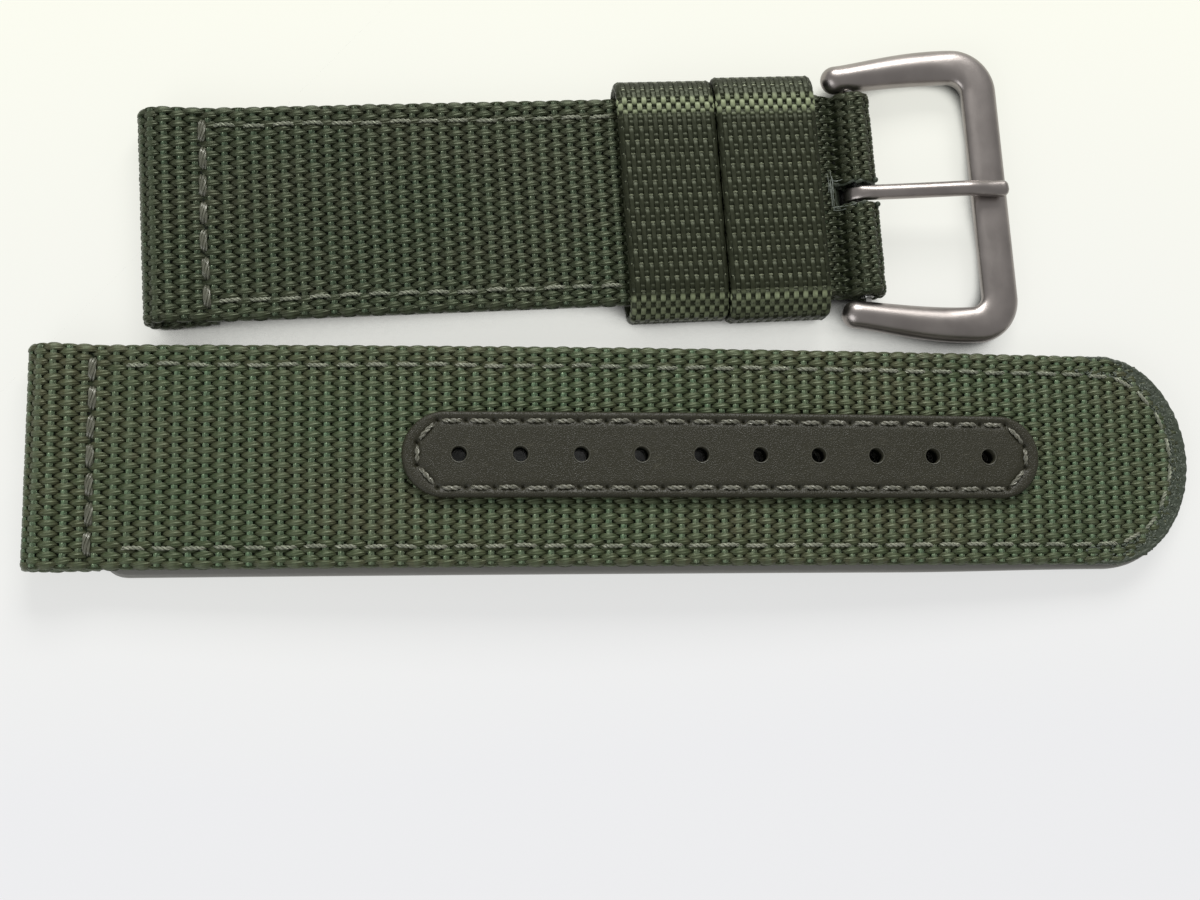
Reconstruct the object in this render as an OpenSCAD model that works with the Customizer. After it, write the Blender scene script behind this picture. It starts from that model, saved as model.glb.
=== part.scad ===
// Two-piece fabric watch strap: a buckle half and a hole half, lying face up side by side.
// The origin is the middle of the buckle half's lug tunnel. X runs along the buckle half
// towards the buckle, Y across it and Z out of its face.

/* [Webbing] */
// Width of both halves, which fits between the lugs
strap_w = 22; // [16:0.5:26]
// Thickness of the woven webbing
webbing_t = 1.3; // [1:0.1:1.8]
// Length of the buckle half from lug end to buckle fold
buckle_half_len = 75.8; // [60:0.2:95]
// Length of the hole half from lug end to tip
hole_half_len = 118.5; // [112:0.5:140]

/* [Lining] */
// Thickness of the lining under the webbing
lining_t = 1.1; // [0.7:0.1:1.6]
// How far the lining stands out past the webbing's edge
lining_overhang = 0.4; // [0.1:0.1:0.8]

/* [Lug tunnels] */
// Radius of the tunnel for a watch's own spring bar
lug_bore_r = 1; // [0.8:0.05:1.3]
// Distance of the cross seam from the lug end
lug_seam = 6.4; // [5.8:0.1:9]
// Length of webbing turned under past the cross seam
lug_turn_under = 1; // [0.8:0.1:3]
// Space between the turned-under webbing and the lining's end
lining_start_gap = 0.2; // [0.1:0.05:0.5]

/* [Hole half shape] */
// How far the middle of the hole half arches up off the table
arch_rise = 2; // [0.5:0.1:5]
// Turn of the hole half on the table, clockwise from above
hole_half_turn = 3.13; // [2.8:0.01:6]
// Least space left between the two halves, wherever the free keeper stands
halves_gap = 0.3; // [0.25:0.05:6]
// How far the hole half's lug end lies behind the buckle half's
hole_half_back = 11.45; // [0:0.05:20]
// How much larger than a half round the radius of the tip's blunt middle is
tip_blunt = 1.2; // [0.6:0.1:5]
// How much smaller than a half round the radius of the tip's two corners is
tip_tight = 2; // [0.5:0.1:4]

/* [Holes and patch] */
// Distance of the first adjustment hole from the lug end
first_hole = 41.7; // [36:0.1:50]
// Spacing of the adjustment holes
hole_pitch = 6; // [5:0.1:6.5]
// Number of adjustment holes
hole_count = 10; // [5:1:10]
// Radius of an adjustment hole
hole_r = 0.75; // [0.6:0.05:0.9]
// Width of the reinforcing patch
patch_w = 8.5; // [6:0.1:12]
// Thickness of the reinforcing patch
patch_t = 0.8; // [0.5:0.1:1.2]
// How far the patch runs past its end holes
patch_end = 5.6; // [4:0.1:8]

/* [Stitching] */
// Distance of the edge seam from the webbing's edge
edge_seam = 2.05; // [1.5:0.05:3]
// Distance of the patch seam from the patch's edge
patch_seam = 0.95; // [0.8:0.05:1.5]
// Length of the patch seam's slanted ends
patch_cut = 2.3; // [1.5:0.1:3]
// Half width of the patch seam's blunt ends
patch_nose = 0.9; // [0.5:0.1:1.5]
// Pitch of the edge seams
edge_pitch = 2.9; // [2:0.1:4]
// Pitch of the patch seam
patch_pitch = 2.75; // [2:0.05:4]
// Pitch of the cross seams
cross_pitch = 2.75; // [2:0.05:4]
// Diameter of the sewing thread
thread_d = 0.42; // [0.3:0.02:0.6]
// Diameter of the heavy thread of the lug seams
heavy_thread_d = 0.6; // [0.4:0.02:0.8]
// Length of one stitch as a share of its pitch
stitch_share = 0.8; // [0.5:0.05:0.85]
// How far the thread stands out of the surface it is sewn into
thread_proud = 0.18; // [0.1:0.01:0.2]
// Depth of the sewn groove in the underside
groove_depth = 0.3; // [0.2:0.05:0.4]
// Distance from the lug seam to the first stitch of an edge seam
edge_seam_start = 0.8; // [0.5:0.1:2]
// Distance from the lining's ends to the edge seam's lower stitches
under_seam_end = 0.6; // [0.4:0.1:2]
// Distance of a cross seam's ends from the webbing's edge
cross_seam_end = 1.1; // [0.8:0.1:3]
// Pitch of the free keeper's closing seam
keeper_seam_pitch = 1.5; // [1:0.1:2.5]
// Length of each stitch of the free keeper's closing seam
keeper_stitch = 2.4; // [1.5:0.1:4]

/* [Keepers] */
// Thickness of the keepers' ribbon
ribbon_t = 1.1; // [0.8:0.1:1.4]
// Width of the free keeper's ribbon
free_keeper_w = 10; // [6:0.5:14]
// Width of the fixed keeper's ribbon
fixed_keeper_w = 10.4; // [9.5:0.1:12]
// Clearance between the free keeper and the strap's faces
keeper_gap = 0.3; // [0.25:0.05:0.6]
// Clearance of the keepers above the strap's face
keeper_loft = 0.5; // [0.4:0.05:2]
// Space between the two keepers at rest
keeper_spacing = 0.3; // [0.2:0.1:3]
// Distance of the fixed keeper from the spring bar
keeper_to_bar = 4.6; // [4.2:0.1:9]
// Outer radius of a keeper's four bends
keeper_bend_r = 2.2; // [1.5:0.1:2.4]
// Inner radius of a keeper's four bends
keeper_inner_r = 0.6; // [0.3:0.05:0.65]
// Clearance at each side between a keeper and the lining's edge
keeper_side_gap = 0.25; // [0.2:0.05:0.6]

/* [Fold] */
// How far the lining reaches into the fixed keeper
lining_tuck = 1.6; // [1:0.1:3]
// Distance of the fold's cross seams from the flap's end and the keeper's end
fold_seam_end = 1.3; // [0.8:0.1:2]
// How deep the fold is drawn in between the keeper and the spring bar
valley_dip = 0.35; // [0.1:0.05:0.4]
// Distance from that dip to the fold's round end
valley_gap = 0.3; // [0.2:0.05:0.6]
// Length of the slope down into that dip
valley_slope = 1.2; // [0.8:0.1:1.6]

/* [Buckle frame] */
// Distance of the frame's outer edge from the spring bar
frame_reach = 16.65; // [14:0.05:20]
// Width of the frame's outer bar seen from above
frame_bar_w = 4.2; // [3.2:0.1:5]
// Thickness of the frame
frame_t = 2.8; // [2.4:0.1:3]
// Diameter of the frame's arms at their ends
frame_arm_d = 2.9; // [2.85:0.05:3.2]
// Length of the arms behind the spring bar, to the centre of their round ends
frame_arm_back = 1.5; // [1.3:0.05:2]
// Outward slope of the arms, in degrees
frame_flare = 6; // [2:0.5:8]
// Radius of the frame's corners at the middle of the metal
frame_corner_r = 2.95; // [2.7:0.05:5]
// Space between the webbing's edge and the frame's arms
frame_side_gap = 0.3; // [0.2:0.05:0.6]

/* [Tongue] */
// Diameter of the tongue's rod
tongue_d = 1.6; // [1.2:0.1:1.8]
// Height of the rod over the spring bar's centre where it leaves its eye
tongue_root_z = 0.45; // [0.3:0.05:0.6]
// Distance of the tongue's tip from the frame's outer edge
tongue_short = 0.6; // [0.2:0.1:1.5]
// Thickness of the metal round the tongue's eye
eye_wall = 0.75; // [0.6:0.05:0.9]
// How far the tongue's crest lies before the frame's bar
crest_back = 0.6; // [0.3:0.1:2]
// Height of the crest over the part of the tongue that lies on the bar
crest_rise = 0.25; // [0.1:0.05:0.6]
// Length of the tongue's slope from its crest down to the bar
crest_slope = 1.7; // [1:0.1:2.5]
// Width of the slot that the tongue swings in
slot_w = 2.5; // [2.4:0.1:4]
// How far the slot runs behind the spring bar
slot_back = 2.7; // [2.6:0.1:3.2]

/* [Spring bar] */
// Radius of the spring bar's barrel
barrel_r = 0.75; // [0.7:0.05:0.9]
// Wall thickness of the barrel
barrel_wall = 0.22; // [0.15:0.01:0.25]
// Radius of the plungers' tips
tip_pin_r = 0.45; // [0.35:0.05:0.5]
// Travel of each plunger
plunger_travel = 0.9; // [0.6:0.05:1.2]
// Length of each plunger's head inside the barrel
head_len = 1.2; // [0.8:0.1:2]
// Length of the barrel's rolled-in ends
crimp_t = 0.4; // [0.3:0.05:0.6]
// How far the rolled-in ends close over the plungers' heads
crimp_lip = 0.18; // [0.15:0.01:0.25]
// Thickness of the plungers' flanges
flange_t = 0.4; // [0.3:0.05:0.6]
// Running clearance of round fits
running_gap = 0.05; // [0.02:0.01:0.08]
// Play along an axis between parts that move past each other
end_play = 0.1; // [0.05:0.01:0.2]

/* [Hidden] */
// Facets of small curves and of the long arch
curve_fn = 48;
arch_fn = 720;
tiny = 0.01;
// Height of cutters that pass right through the strap
tall = hole_half_len;
// Small step left where round pieces of one solid meet end to end
fuse_step = 0.02;
// Length over which the turned end of the hole half reaches inside its arched part
fuse_len = 1;
webbing_green = [0.27, 0.31, 0.22];
ribbon_green = [0.24, 0.26, 0.18];
lining_grey = [0.38, 0.39, 0.37];
patch_olive = [0.24, 0.24, 0.2];
thread_grey = [0.46, 0.45, 0.4];
steel = [0.55, 0.52, 0.5];

// Heights, from the table up to the strap's face
lug_r = lug_bore_r + webbing_t;
table_z = -lug_r;
middle_z = table_z + ribbon_t + max(keeper_gap + lining_t, webbing_t);
face_z = middle_z + webbing_t;
under_z = middle_z - lining_t;
flap_z = middle_z - webbing_t;
half_w = strap_w / 2;
lining_half_w = half_w + lining_overhang;

// Places along the two halves
seam_x = lug_seam - lug_r;
turn_under_x = seam_x + lug_turn_under;
lining_x = turn_under_x + lining_start_gap;
tunnel_r = barrel_r + running_gap;
fold_r = tunnel_r + webbing_t;
bar_x = buckle_half_len - lug_r - fold_r;
fixed_x1 = bar_x - keeper_to_bar;
fixed_x0 = fixed_x1 - fixed_keeper_w;
free_x1 = fixed_x0 - keeper_spacing;
free_x0 = free_x1 - free_keeper_w;
lining_end_x = fixed_x0 + lining_tuck;
flap_end_x = lining_end_x + lining_start_gap;
fold_seams = [flap_end_x + fold_seam_end, fixed_x1 - fold_seam_end];
valley_x = bar_x - fold_r - valley_gap;

// Height of a lower thread's centre over the face that its groove is cut in
sunk_thread = max(groove_depth - thread_d / 4, thread_d / 2 + tiny);

// Keepers
ring_half_w = lining_half_w + keeper_side_gap + ribbon_t;
ring_low = table_z;
ring_high = face_z + keeper_loft + ribbon_t;

// The hole half's own frame has its lug tunnel's middle as origin
seat_h = middle_z - table_z;
arch_end = hole_half_len - lug_r;
chord_x = arch_end - lining_x;
chord_z = seat_h - lining_t;
chord = sqrt(chord_x * chord_x + chord_z * chord_z);
chord_tilt = atan2(-chord_z, chord_x);
arch_r = chord * chord / (8 * arch_rise) + arch_rise / 2;
arch_mid = [(lining_x + arch_end) / 2, (under_z + table_z) / 2];
arch_c = arch_mid - (arch_r - arch_rise) * [-sin(chord_tilt), cos(chord_tilt)];
hole_1 = first_hole - lug_r;
patch_x0 = hole_1 - patch_end;
patch_x1 = hole_1 + (hole_count - 1) * hole_pitch + patch_end;

// The tip: a blunt arc between two corner arcs
tip_r = half_w + tip_blunt;
tip_corner_r = half_w - tip_tight;
tip_c = arch_end - tip_r;
corner_y = half_w - tip_corner_r;
corner_dx = sqrt(pow(tip_r - tip_corner_r, 2) - corner_y * corner_y);
corner_x = tip_c + corner_dx;
corner_angle = atan2(corner_y, corner_dx);

// Buckle
bar_line = frame_reach - frame_bar_w / 2;
arm_r = frame_arm_d / 2;
bar_r = frame_bar_w / 2;
arm_end_y = half_w + frame_side_gap + arm_r;
corner_cx = bar_line - frame_corner_r;
elbow_x = corner_cx - frame_corner_r * sin(frame_flare);
elbow_y = arm_end_y + (elbow_x + frame_arm_back) * tan(frame_flare);
corner_cy = elbow_y - frame_corner_r * cos(frame_flare);
arm_len = (elbow_x + frame_arm_back) / cos(frame_flare);
flat_edge = bar_line + sqrt(bar_r * bar_r - frame_t * frame_t / 4);
rest_gap = 0.02;
frame_tilt = asin((seat_h - rest_gap) / norm([flat_edge, frame_t / 2])) - atan2(frame_t / 2, flat_edge);
pin_end = half_w + frame_side_gap + plunger_travel - end_play / 2;
flange_y = half_w - end_play / 2;
barrel_half = flange_y - flange_t - plunger_travel - end_play / 2;
bore_r = barrel_r - barrel_wall;
neck_r = bore_r - crimp_lip;
head_y = barrel_half - crimp_t - rest_gap;
eye_r = tunnel_r + eye_wall;
eye_half_w = tongue_d / 2 - running_gap;
bar_top = frame_t / 2 + rest_gap + fuse_step + tongue_d / 2;
tongue_end = frame_reach - tongue_short;
crest_x = bar_line - bar_r - crest_back;
crest_z = bar_top + crest_rise;
land_x = crest_x + crest_slope;

// The hole half lies clear of the free keeper at the end of its travel and of the frame.
// Each is taken as a circle in plan: its centre, and its radius.
keeper_stop_x = lining_x + lining_start_gap;
keeper_corner = [keeper_stop_x, ring_half_w, 0];
frame_corner = [bar_x + corner_cx, corner_cy, frame_corner_r + bar_r];
function clear_of(circle) =
    circle[1] + (lining_half_w + circle[2] + halves_gap
        - (circle[0] + hole_half_back) * sin(hole_half_turn)) / cos(hole_half_turn);
hole_origin = [-hole_half_back, -max(clear_of(keeper_corner), clear_of(frame_corner)), 0];

// Angle, seen from centre c, of the tangent point of the line from p to the circle of radius r
function tangent_angle(p, c, r, side) =
    atan2(p[1] - c[1], p[0] - c[0]) + side * acos(r / norm(p - c));
function tangent_point(p, c, r, side) =
    c + r * [cos(tangent_angle(p, c, r, side)), sin(tangent_angle(p, c, r, side))];
// Height of the arch's lower face over the table plane, and its slope, at x
function arch_z(x, up) = arch_c[1] + sqrt(pow(arch_r + up, 2) - pow(x - arch_c[0], 2));
function arch_slope(x) = asin((x - arch_c[0]) / arch_r);
// Places of n stitches evenly spread between a and b
function spread(a, b, pitch) =
    let (n = max(2, round(abs(b - a) / pitch)), step = (b - a) / n)
    [for (i = [0:n - 1]) a + step * (i + 0.5)];
// Point and heading on the hole half's edge seam, at length s from its start on the left
seam_side = corner_x - seam_x;
function seam_corner(inset) = (tip_corner_r - inset) * (90 - corner_angle) * PI / 180;
function seam_tip(inset) = (tip_r - inset) * 2 * corner_angle * PI / 180;
function seam_len(inset) = 2 * seam_side + 2 * seam_corner(inset) + seam_tip(inset);
function on_corner(inset, a) =
    [corner_x + (tip_corner_r - inset) * cos(a), corner_y + (tip_corner_r - inset) * sin(a), a - 90];
function on_tip(inset, a) = [tip_c + (tip_r - inset) * cos(a), (tip_r - inset) * sin(a), a - 90];
function flip(p) = [p[0], -p[1], 180 - p[2]];
function seam_point(inset, s) =
    s > seam_len(inset) / 2 ? flip(seam_point(inset, seam_len(inset) - s))
    : s < seam_side ? [seam_x + s, half_w - inset, 0]
    : s < seam_side + seam_corner(inset)
        ? on_corner(inset, 90 - (s - seam_side) / (tip_corner_r - inset) * 180 / PI)
    : on_tip(inset, corner_angle
        - (s - seam_side - seam_corner(inset)) / (tip_r - inset) * 180 / PI);
// Point and heading on the patch's seam, with hexagonal ends, clockwise from its upper left
patch_y = patch_w / 2 - patch_seam;
patch_route = [
    [patch_x0 + patch_seam + patch_cut, patch_y], [patch_x1 - patch_seam - patch_cut, patch_y],
    [patch_x1 - patch_seam, patch_nose], [patch_x1 - patch_seam, -patch_nose],
    [patch_x1 - patch_seam - patch_cut, -patch_y], [patch_x0 + patch_seam + patch_cut, -patch_y],
    [patch_x0 + patch_seam, -patch_nose], [patch_x0 + patch_seam, patch_nose]];

// A strip across the strap: the profile drawn in X and Z, made y0 to y1 wide
module across(y0, y1) {
    translate([0, y1, 0]) rotate([90, 0, 0]) linear_extrude(y1 - y0) children();
}

// A straight round rod from y0 to y1 along Y
module rod_y(x, z, r, y0, y1) {
    translate([x, y0, z]) rotate([-90, 0, 0]) cylinder(h = y1 - y0, r = r, $fn = curve_fn);
}

// One stitch lying along heading a at p, on a face that slopes down by slope along X
module stitch(p, z, a, slope, d, len) {
    translate([p[0], p[1], z]) rotate([0, slope, 0]) rotate([0, 0, a]) rotate([0, 90, 0])
        cylinder(h = len, d = d, center = true, $fn = 24);
}

// Straight row of stitches along X or Y on a level face
module row_x(x0, x1, y, z, pitch, d) {
    for (x = spread(x0, x1, pitch)) stitch([x, y], z, 0, 0, d, pitch * stitch_share);
}
module row_y(x, y0, y1, z, pitch, d) {
    for (y = spread(y0, y1, pitch)) stitch([x, y], z, 90, 0, d, pitch * stitch_share);
}

// Webbing turned round the lug tunnel at the origin, with the rest of its profile in X and Z
module lug_end(rest) {
    difference() {
        union() {
            rod_y(0, 0, lug_r, -half_w, half_w);
            across(-half_w, half_w) polygon(concat(
                [[0, 0], tangent_point(rest[0], [0, 0], lug_r, 1)], rest,
                [[turn_under_x, flap_z], tangent_point([turn_under_x, flap_z], [0, 0], lug_r, -1)]));
            children();
        }
        rod_y(0, 0, lug_bore_r, -half_w - 1, half_w + 1);
    }
}

module buckle_half_webbing() {
    c = [bar_x, middle_z];
    top = [valley_x, face_z - valley_dip];
    low = [valley_x, flap_z + valley_dip];
    color(webbing_green) difference() {
        lug_end([[turn_under_x, face_z], [valley_x - valley_slope, face_z], top,
            tangent_point(top, c, fold_r, -1), c, tangent_point(low, c, fold_r, 1), low,
            [valley_x - valley_slope, flap_z], [flap_end_x, flap_z], [flap_end_x, middle_z],
            [turn_under_x, middle_z]])
            rod_y(bar_x, middle_z, fold_r, -half_w, half_w);
        rod_y(bar_x, middle_z, tunnel_r, -half_w - 1, half_w + 1);
        translate([bar_x - slot_back, -slot_w / 2, table_z])
            cube([slot_back + 2 * fold_r, slot_w, 4 * fold_r]);
    }
}

// Grooves pressed into the lining's underside by the edge seams
module buckle_half_lining() {
    len = lining_end_x - lining_x;
    color(lining_grey) difference() {
        translate([lining_x, -lining_half_w, under_z]) cube([len, 2 * lining_half_w, lining_t]);
        for (y = [-1, 1] * (half_w - edge_seam))
            translate([lining_x - 1, y - thread_d, under_z - 1])
                cube([len + 2, 2 * thread_d, 1 + groove_depth]);
    }
}

module buckle_half_edge_thread_top() {
    color(thread_grey) for (y = [-1, 1] * (half_w - edge_seam))
        row_x(seam_x + edge_seam_start, fixed_x1 - thread_d, y,
            face_z + thread_proud - thread_d / 2, edge_pitch, thread_d);
}

module buckle_half_edge_thread_under() {
    color(thread_grey) for (y = [-1, 1] * (half_w - edge_seam))
        row_x(lining_x + under_seam_end, lining_end_x - under_seam_end, y,
            under_z + sunk_thread, edge_pitch, thread_d);
}

// Heights of the sloping faces at the lug seam, over and under the tunnel's end
function lug_face(x, z, side) =
    let (t = tangent_point([x, z], [0, 0], lug_r, side))
    z + (t[1] - z) * (x - seam_x) / (x - t[0]);
lug_seam_top = lug_face(turn_under_x, face_z, 1) + thread_proud - heavy_thread_d / 2;
lug_seam_low = lug_face(turn_under_x, flap_z, -1) - thread_proud + heavy_thread_d / 2;

module buckle_half_lug_thread_top() { color(thread_grey) lug_row(lug_seam_top); }
module buckle_half_lug_thread_under() { color(thread_grey) lug_row(lug_seam_low); }

module lug_row(z) {
    row_y(seam_x, -half_w + cross_seam_end, half_w - cross_seam_end, z, cross_pitch, heavy_thread_d);
}

// Cross seam through the fold and the fixed keeper, between the two edge seams
module fold_row(x, z) {
    y = half_w - edge_seam - thread_d;
    row_y(x, -y, y, z, cross_pitch, thread_d);
}

module fold_thread_top() {
    color(thread_grey) for (x = fold_seams)
        fold_row(x, face_z + thread_proud - thread_d / 2);
}

module fold_thread_under() {
    color(thread_grey) for (x = fold_seams)
        fold_row(x, ring_low + sunk_thread);
}

// Rounded rectangle in Y and Z
module round_box(w, low, high, r) {
    for (y = [-1, 1] * (w - r), z = [low + r, high - r])
        translate([y, z]) circle(r = r, $fn = curve_fn);
    translate([-w + r, low]) square([2 * (w - r), high - low]);
    translate([-w, low + r]) square([2 * w, high - low - 2 * r]);
}

// A ribbon loop round the strap, from x0, its inside floor at floor_z
module keeper_loop(x0, w, floor_z) {
    translate([x0, 0, 0]) rotate([90, 0, 90]) linear_extrude(w) difference() {
        round_box(ring_half_w, ring_low, ring_high, keeper_bend_r);
        round_box(ring_half_w - ribbon_t, floor_z, ring_high - ribbon_t, keeper_inner_r);
    }
}

module fixed_keeper() {
    color(ribbon_green) difference() {
        keeper_loop(fixed_x0, fixed_keeper_w, flap_z);
        for (x = fold_seams)
            translate([x - thread_d, -half_w + edge_seam, ring_low - 1])
                cube([2 * thread_d, strap_w - 2 * edge_seam, 1 + groove_depth]);
        // Room for the lining, which is thinner or thicker than the turned-back webbing
        translate([fixed_x0 - 1, -lining_half_w, under_z])
            cube([flap_end_x - fixed_x0 + 1, 2 * lining_half_w, face_z - under_z]);
    }
}

module free_keeper() {
    groove_half_w = keeper_stitch / 2 + thread_d;
    color(ribbon_green) difference() {
        keeper_loop(free_x0, free_keeper_w, under_z - keeper_gap);
        translate([free_x0 - 1, -groove_half_w, ring_low - 1])
            cube([free_keeper_w + 2, 2 * groove_half_w, 1 + groove_depth]);
    }
}

module free_keeper_seam_thread() {
    color(thread_grey) for (x = spread(free_x0 + thread_d, free_x1 - thread_d, keeper_seam_pitch))
        stitch([x, 0], ring_low + sunk_thread, 90, 0, thread_d, keeper_stitch);
}

// The buckle stands nose down, so that its outer bar touches the table
module on_spring_bar() {
    translate([bar_x, 0, middle_z]) rotate([0, frame_tilt, 0]) children();
}

module frame_arm() {
    translate([-frame_arm_back, arm_end_y, 0]) rotate([0, 0, frame_flare]) {
        sphere(r = arm_r, $fn = curve_fn);
        rotate([0, 90, 0]) cylinder(h = arm_len, r1 = arm_r, r2 = bar_r - fuse_step, $fn = curve_fn);
    }
}

module frame_elbow() {
    translate([corner_cx, corner_cy, 0])
        rotate_extrude(angle = 90 + frame_flare, $fn = 2 * curve_fn)
        translate([frame_corner_r, 0]) circle(r = bar_r, $fn = curve_fn);
}

module buckle_frame() {
    color(steel) on_spring_bar() difference() {
        intersection() {
            union() {
                for (side = [0, 1]) mirror([0, side, 0]) {
                    frame_arm();
                    frame_elbow();
                }
                rod_y(bar_line, 0, bar_r, -corner_cy, corner_cy);
            }
            translate([-frame_reach, -frame_reach * 2, -frame_t / 2])
                cube([frame_reach * 3, frame_reach * 4, frame_t]);
        }
        for (side = [0, 1]) mirror([0, side, 0])
            rod_y(0, 0, tip_pin_r + running_gap, half_w, pin_end + end_play);
    }
}

// A straight rod in the XZ plane between two points, with a ball at the second that is
// swell larger in radius
module tongue_rod(a, b, swell) {
    d = b - a;
    translate([a[0], 0, a[1]]) rotate([0, atan2(d[0], d[1]), 0])
        cylinder(h = norm(d), d = tongue_d, $fn = curve_fn);
    translate([b[0], 0, b[1]]) sphere(r = tongue_d / 2 + swell, $fn = curve_fn);
}

module buckle_tongue() {
    color(steel) on_spring_bar() difference() {
        union() {
            rod_y(0, 0, eye_r, -eye_half_w, eye_half_w);
            tongue_rod([0, tongue_root_z], [crest_x, crest_z], fuse_step);
            tongue_rod([crest_x, crest_z], [land_x, bar_top], fuse_step);
            tongue_rod([land_x, bar_top], [tongue_end - tongue_d / 2, bar_top], 0);
        }
        rod_y(0, 0, tunnel_r, -tongue_d, tongue_d);
    }
}

module spring_bar_barrel() {
    color(steel) difference() {
        rod_y(bar_x, middle_z, barrel_r, -barrel_half, barrel_half);
        rod_y(bar_x, middle_z, bore_r, -barrel_half + crimp_t, barrel_half - crimp_t);
        rod_y(bar_x, middle_z, neck_r + running_gap, -barrel_half - 1, barrel_half + 1);
    }
}

// The plunger at +Y: a head kept in by the barrel's rolled end, a neck, a flange and a tip
module plunger() {
    rod_y(bar_x, middle_z, bore_r - running_gap, head_y - head_len, head_y);
    rod_y(bar_x, middle_z, neck_r, head_y - tiny, flange_y - flange_t + tiny);
    rod_y(bar_x, middle_z, barrel_r - running_gap, flange_y - flange_t, flange_y);
    rod_y(bar_x, middle_z, tip_pin_r, flange_y - tiny, pin_end);
}

module spring_bar_plunger_left() { color(steel) plunger(); }
module spring_bar_plunger_right() { color(steel) mirror([0, 1, 0]) plunger(); }

// The coil spring, as the sleeve that it fills between the two heads
module spring_bar_spring() {
    reach = head_y - head_len;
    color(steel) difference() {
        rod_y(bar_x, middle_z, bore_r - 2 * running_gap, -reach, reach);
        rod_y(bar_x, middle_z, bore_r / 2, -reach - 1, reach + 1);
    }
}

// The hole half is drawn straight along X and then turned on the table
module on_table() {
    translate(hole_origin) rotate([0, 0, -hole_half_turn]) children();
}

// Outline of the hole half from above, grown by g
module plan(g) {
    translate([-lug_r - 1, -half_w - g]) square([corner_x + lug_r + 1, strap_w + 2 * g]);
    for (y = [-corner_y, corner_y])
        translate([corner_x, y]) circle(r = tip_corner_r + g, $fn = 4 * curve_fn);
    intersection() {
        translate([tip_c, 0]) circle(r = tip_r + g, $fn = 4 * curve_fn);
        polygon([[tip_c, 0], [tip_c + 2 * tip_r * cos(corner_angle), 2 * tip_r * sin(corner_angle)],
            [tip_c + 2 * tip_r * cos(corner_angle), -2 * tip_r * sin(corner_angle)]]);
    }
}

// Profile in X and Z of the layer between heights low and high over the arch's lower face
module arch_layer(low, high, x0) {
    intersection() {
        translate(arch_c) difference() {
            circle(r = arch_r + high, $fn = arch_fn);
            circle(r = arch_r + low, $fn = arch_fn);
        }
        translate([x0, -tall]) square([hole_half_len, 2 * tall]);
    }
}

module hole_cuts() {
    for (i = [0:hole_count - 1]) {
        x = hole_1 + i * hole_pitch;
        translate([x, 0, arch_z(x, lining_t)]) rotate([0, arch_slope(x), 0])
            cylinder(h = strap_w, r = hole_r, center = true, $fn = curve_fn);
    }
}

// The lug end reaches a short way inside the arch, drawn in so that the two fuse cleanly
module hole_half_webbing() {
    low = lining_t;
    top = lining_t + webbing_t;
    x1 = turn_under_x + fuse_len;
    color(webbing_green) on_table() difference() {
        lug_end([[turn_under_x, arch_z(turn_under_x, top) - fuse_step],
            [x1, arch_z(x1, top) - fuse_step], [x1, arch_z(x1, low) + fuse_step],
            [turn_under_x, arch_z(turn_under_x, low) + fuse_step]])
            intersection() {
                across(-half_w, half_w) arch_layer(low, top, turn_under_x);
                translate([0, 0, -tall]) linear_extrude(2 * tall) plan(0);
            }
        hole_cuts();
    }
}

module hole_half_lining() {
    color(lining_grey) on_table() difference() {
        intersection() {
            across(-lining_half_w, lining_half_w) arch_layer(0, lining_t, lining_x);
            translate([0, 0, -tall]) linear_extrude(2 * tall) plan(lining_overhang);
        }
        intersection() {
            across(-half_w, half_w) arch_layer(-lining_t, groove_depth, lining_x);
            translate([0, 0, -tall]) linear_extrude(2 * tall) difference() {
                plan(-edge_seam + thread_d);
                plan(-edge_seam - thread_d);
            }
        }
        hole_cuts();
    }
}

// Outline of the patch from above, drawn in by inset, with nearly half-round ends
module patch_plan(inset) {
    r = patch_w / 2 - inset;
    for (x = [patch_x0 + patch_w / 2, patch_x1 - patch_w / 2])
        translate([x, 0]) circle(r = r, $fn = 2 * curve_fn);
    translate([patch_x0 + patch_w / 2, -r]) square([patch_x1 - patch_x0 - patch_w, 2 * r]);
}

module hole_patch() {
    base = lining_t + webbing_t;
    color(patch_olive) on_table() difference() {
        intersection() {
            across(-half_w, half_w) arch_layer(base, base + patch_t, lining_x);
            translate([0, 0, -tall]) linear_extrude(2 * tall) patch_plan(0);
        }
        hole_cuts();
    }
}

// A stitch on the hole half at plan point p, at height up over the arch's lower face
module arched_stitch(p, up, a, pitch) {
    stitch(p, arch_z(p[0], up), a, arch_slope(p[0]), thread_d, pitch * stitch_share);
}

// Stitches round the patch, one run for each side of its route
module patch_row(up) {
    n = len(patch_route);
    for (i = [0:n - 1]) {
        a = patch_route[i];
        d = patch_route[(i + 1) % n] - a;
        share = 1 / max(1, round(norm(d) / patch_pitch));
        for (k = [share / 2:share:1])
            arched_stitch(a + d * k, up, atan2(d[1], d[0]), norm(d) * share);
    }
}

module patch_thread_top() {
    color(thread_grey) on_table()
        patch_row(lining_t + webbing_t + patch_t + thread_proud - thread_d / 2);
}

// The patch is sewn to the webbing alone, so its lower thread lies between webbing and lining
module patch_thread_under() {
    color(thread_grey) on_table() patch_row(lining_t + thread_d / 2 + tiny);
}

module edge_row(up) {
    first = lining_x + under_seam_end + fuse_len - seam_x;
    for (s = spread(first, seam_len(edge_seam) - first, edge_pitch)) {
        p = seam_point(edge_seam, s);
        arched_stitch([p[0], p[1]], up, p[2], edge_pitch);
    }
}

module hole_half_edge_thread_top() {
    color(thread_grey) on_table() edge_row(lining_t + webbing_t + thread_proud - thread_d / 2);
}

module hole_half_edge_thread_under() {
    color(thread_grey) on_table() edge_row(sunk_thread);
}

module hole_half_lug_thread_top() { color(thread_grey) on_table() lug_row(lug_seam_top); }
module hole_half_lug_thread_under() { color(thread_grey) on_table() lug_row(lug_seam_low); }

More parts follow.
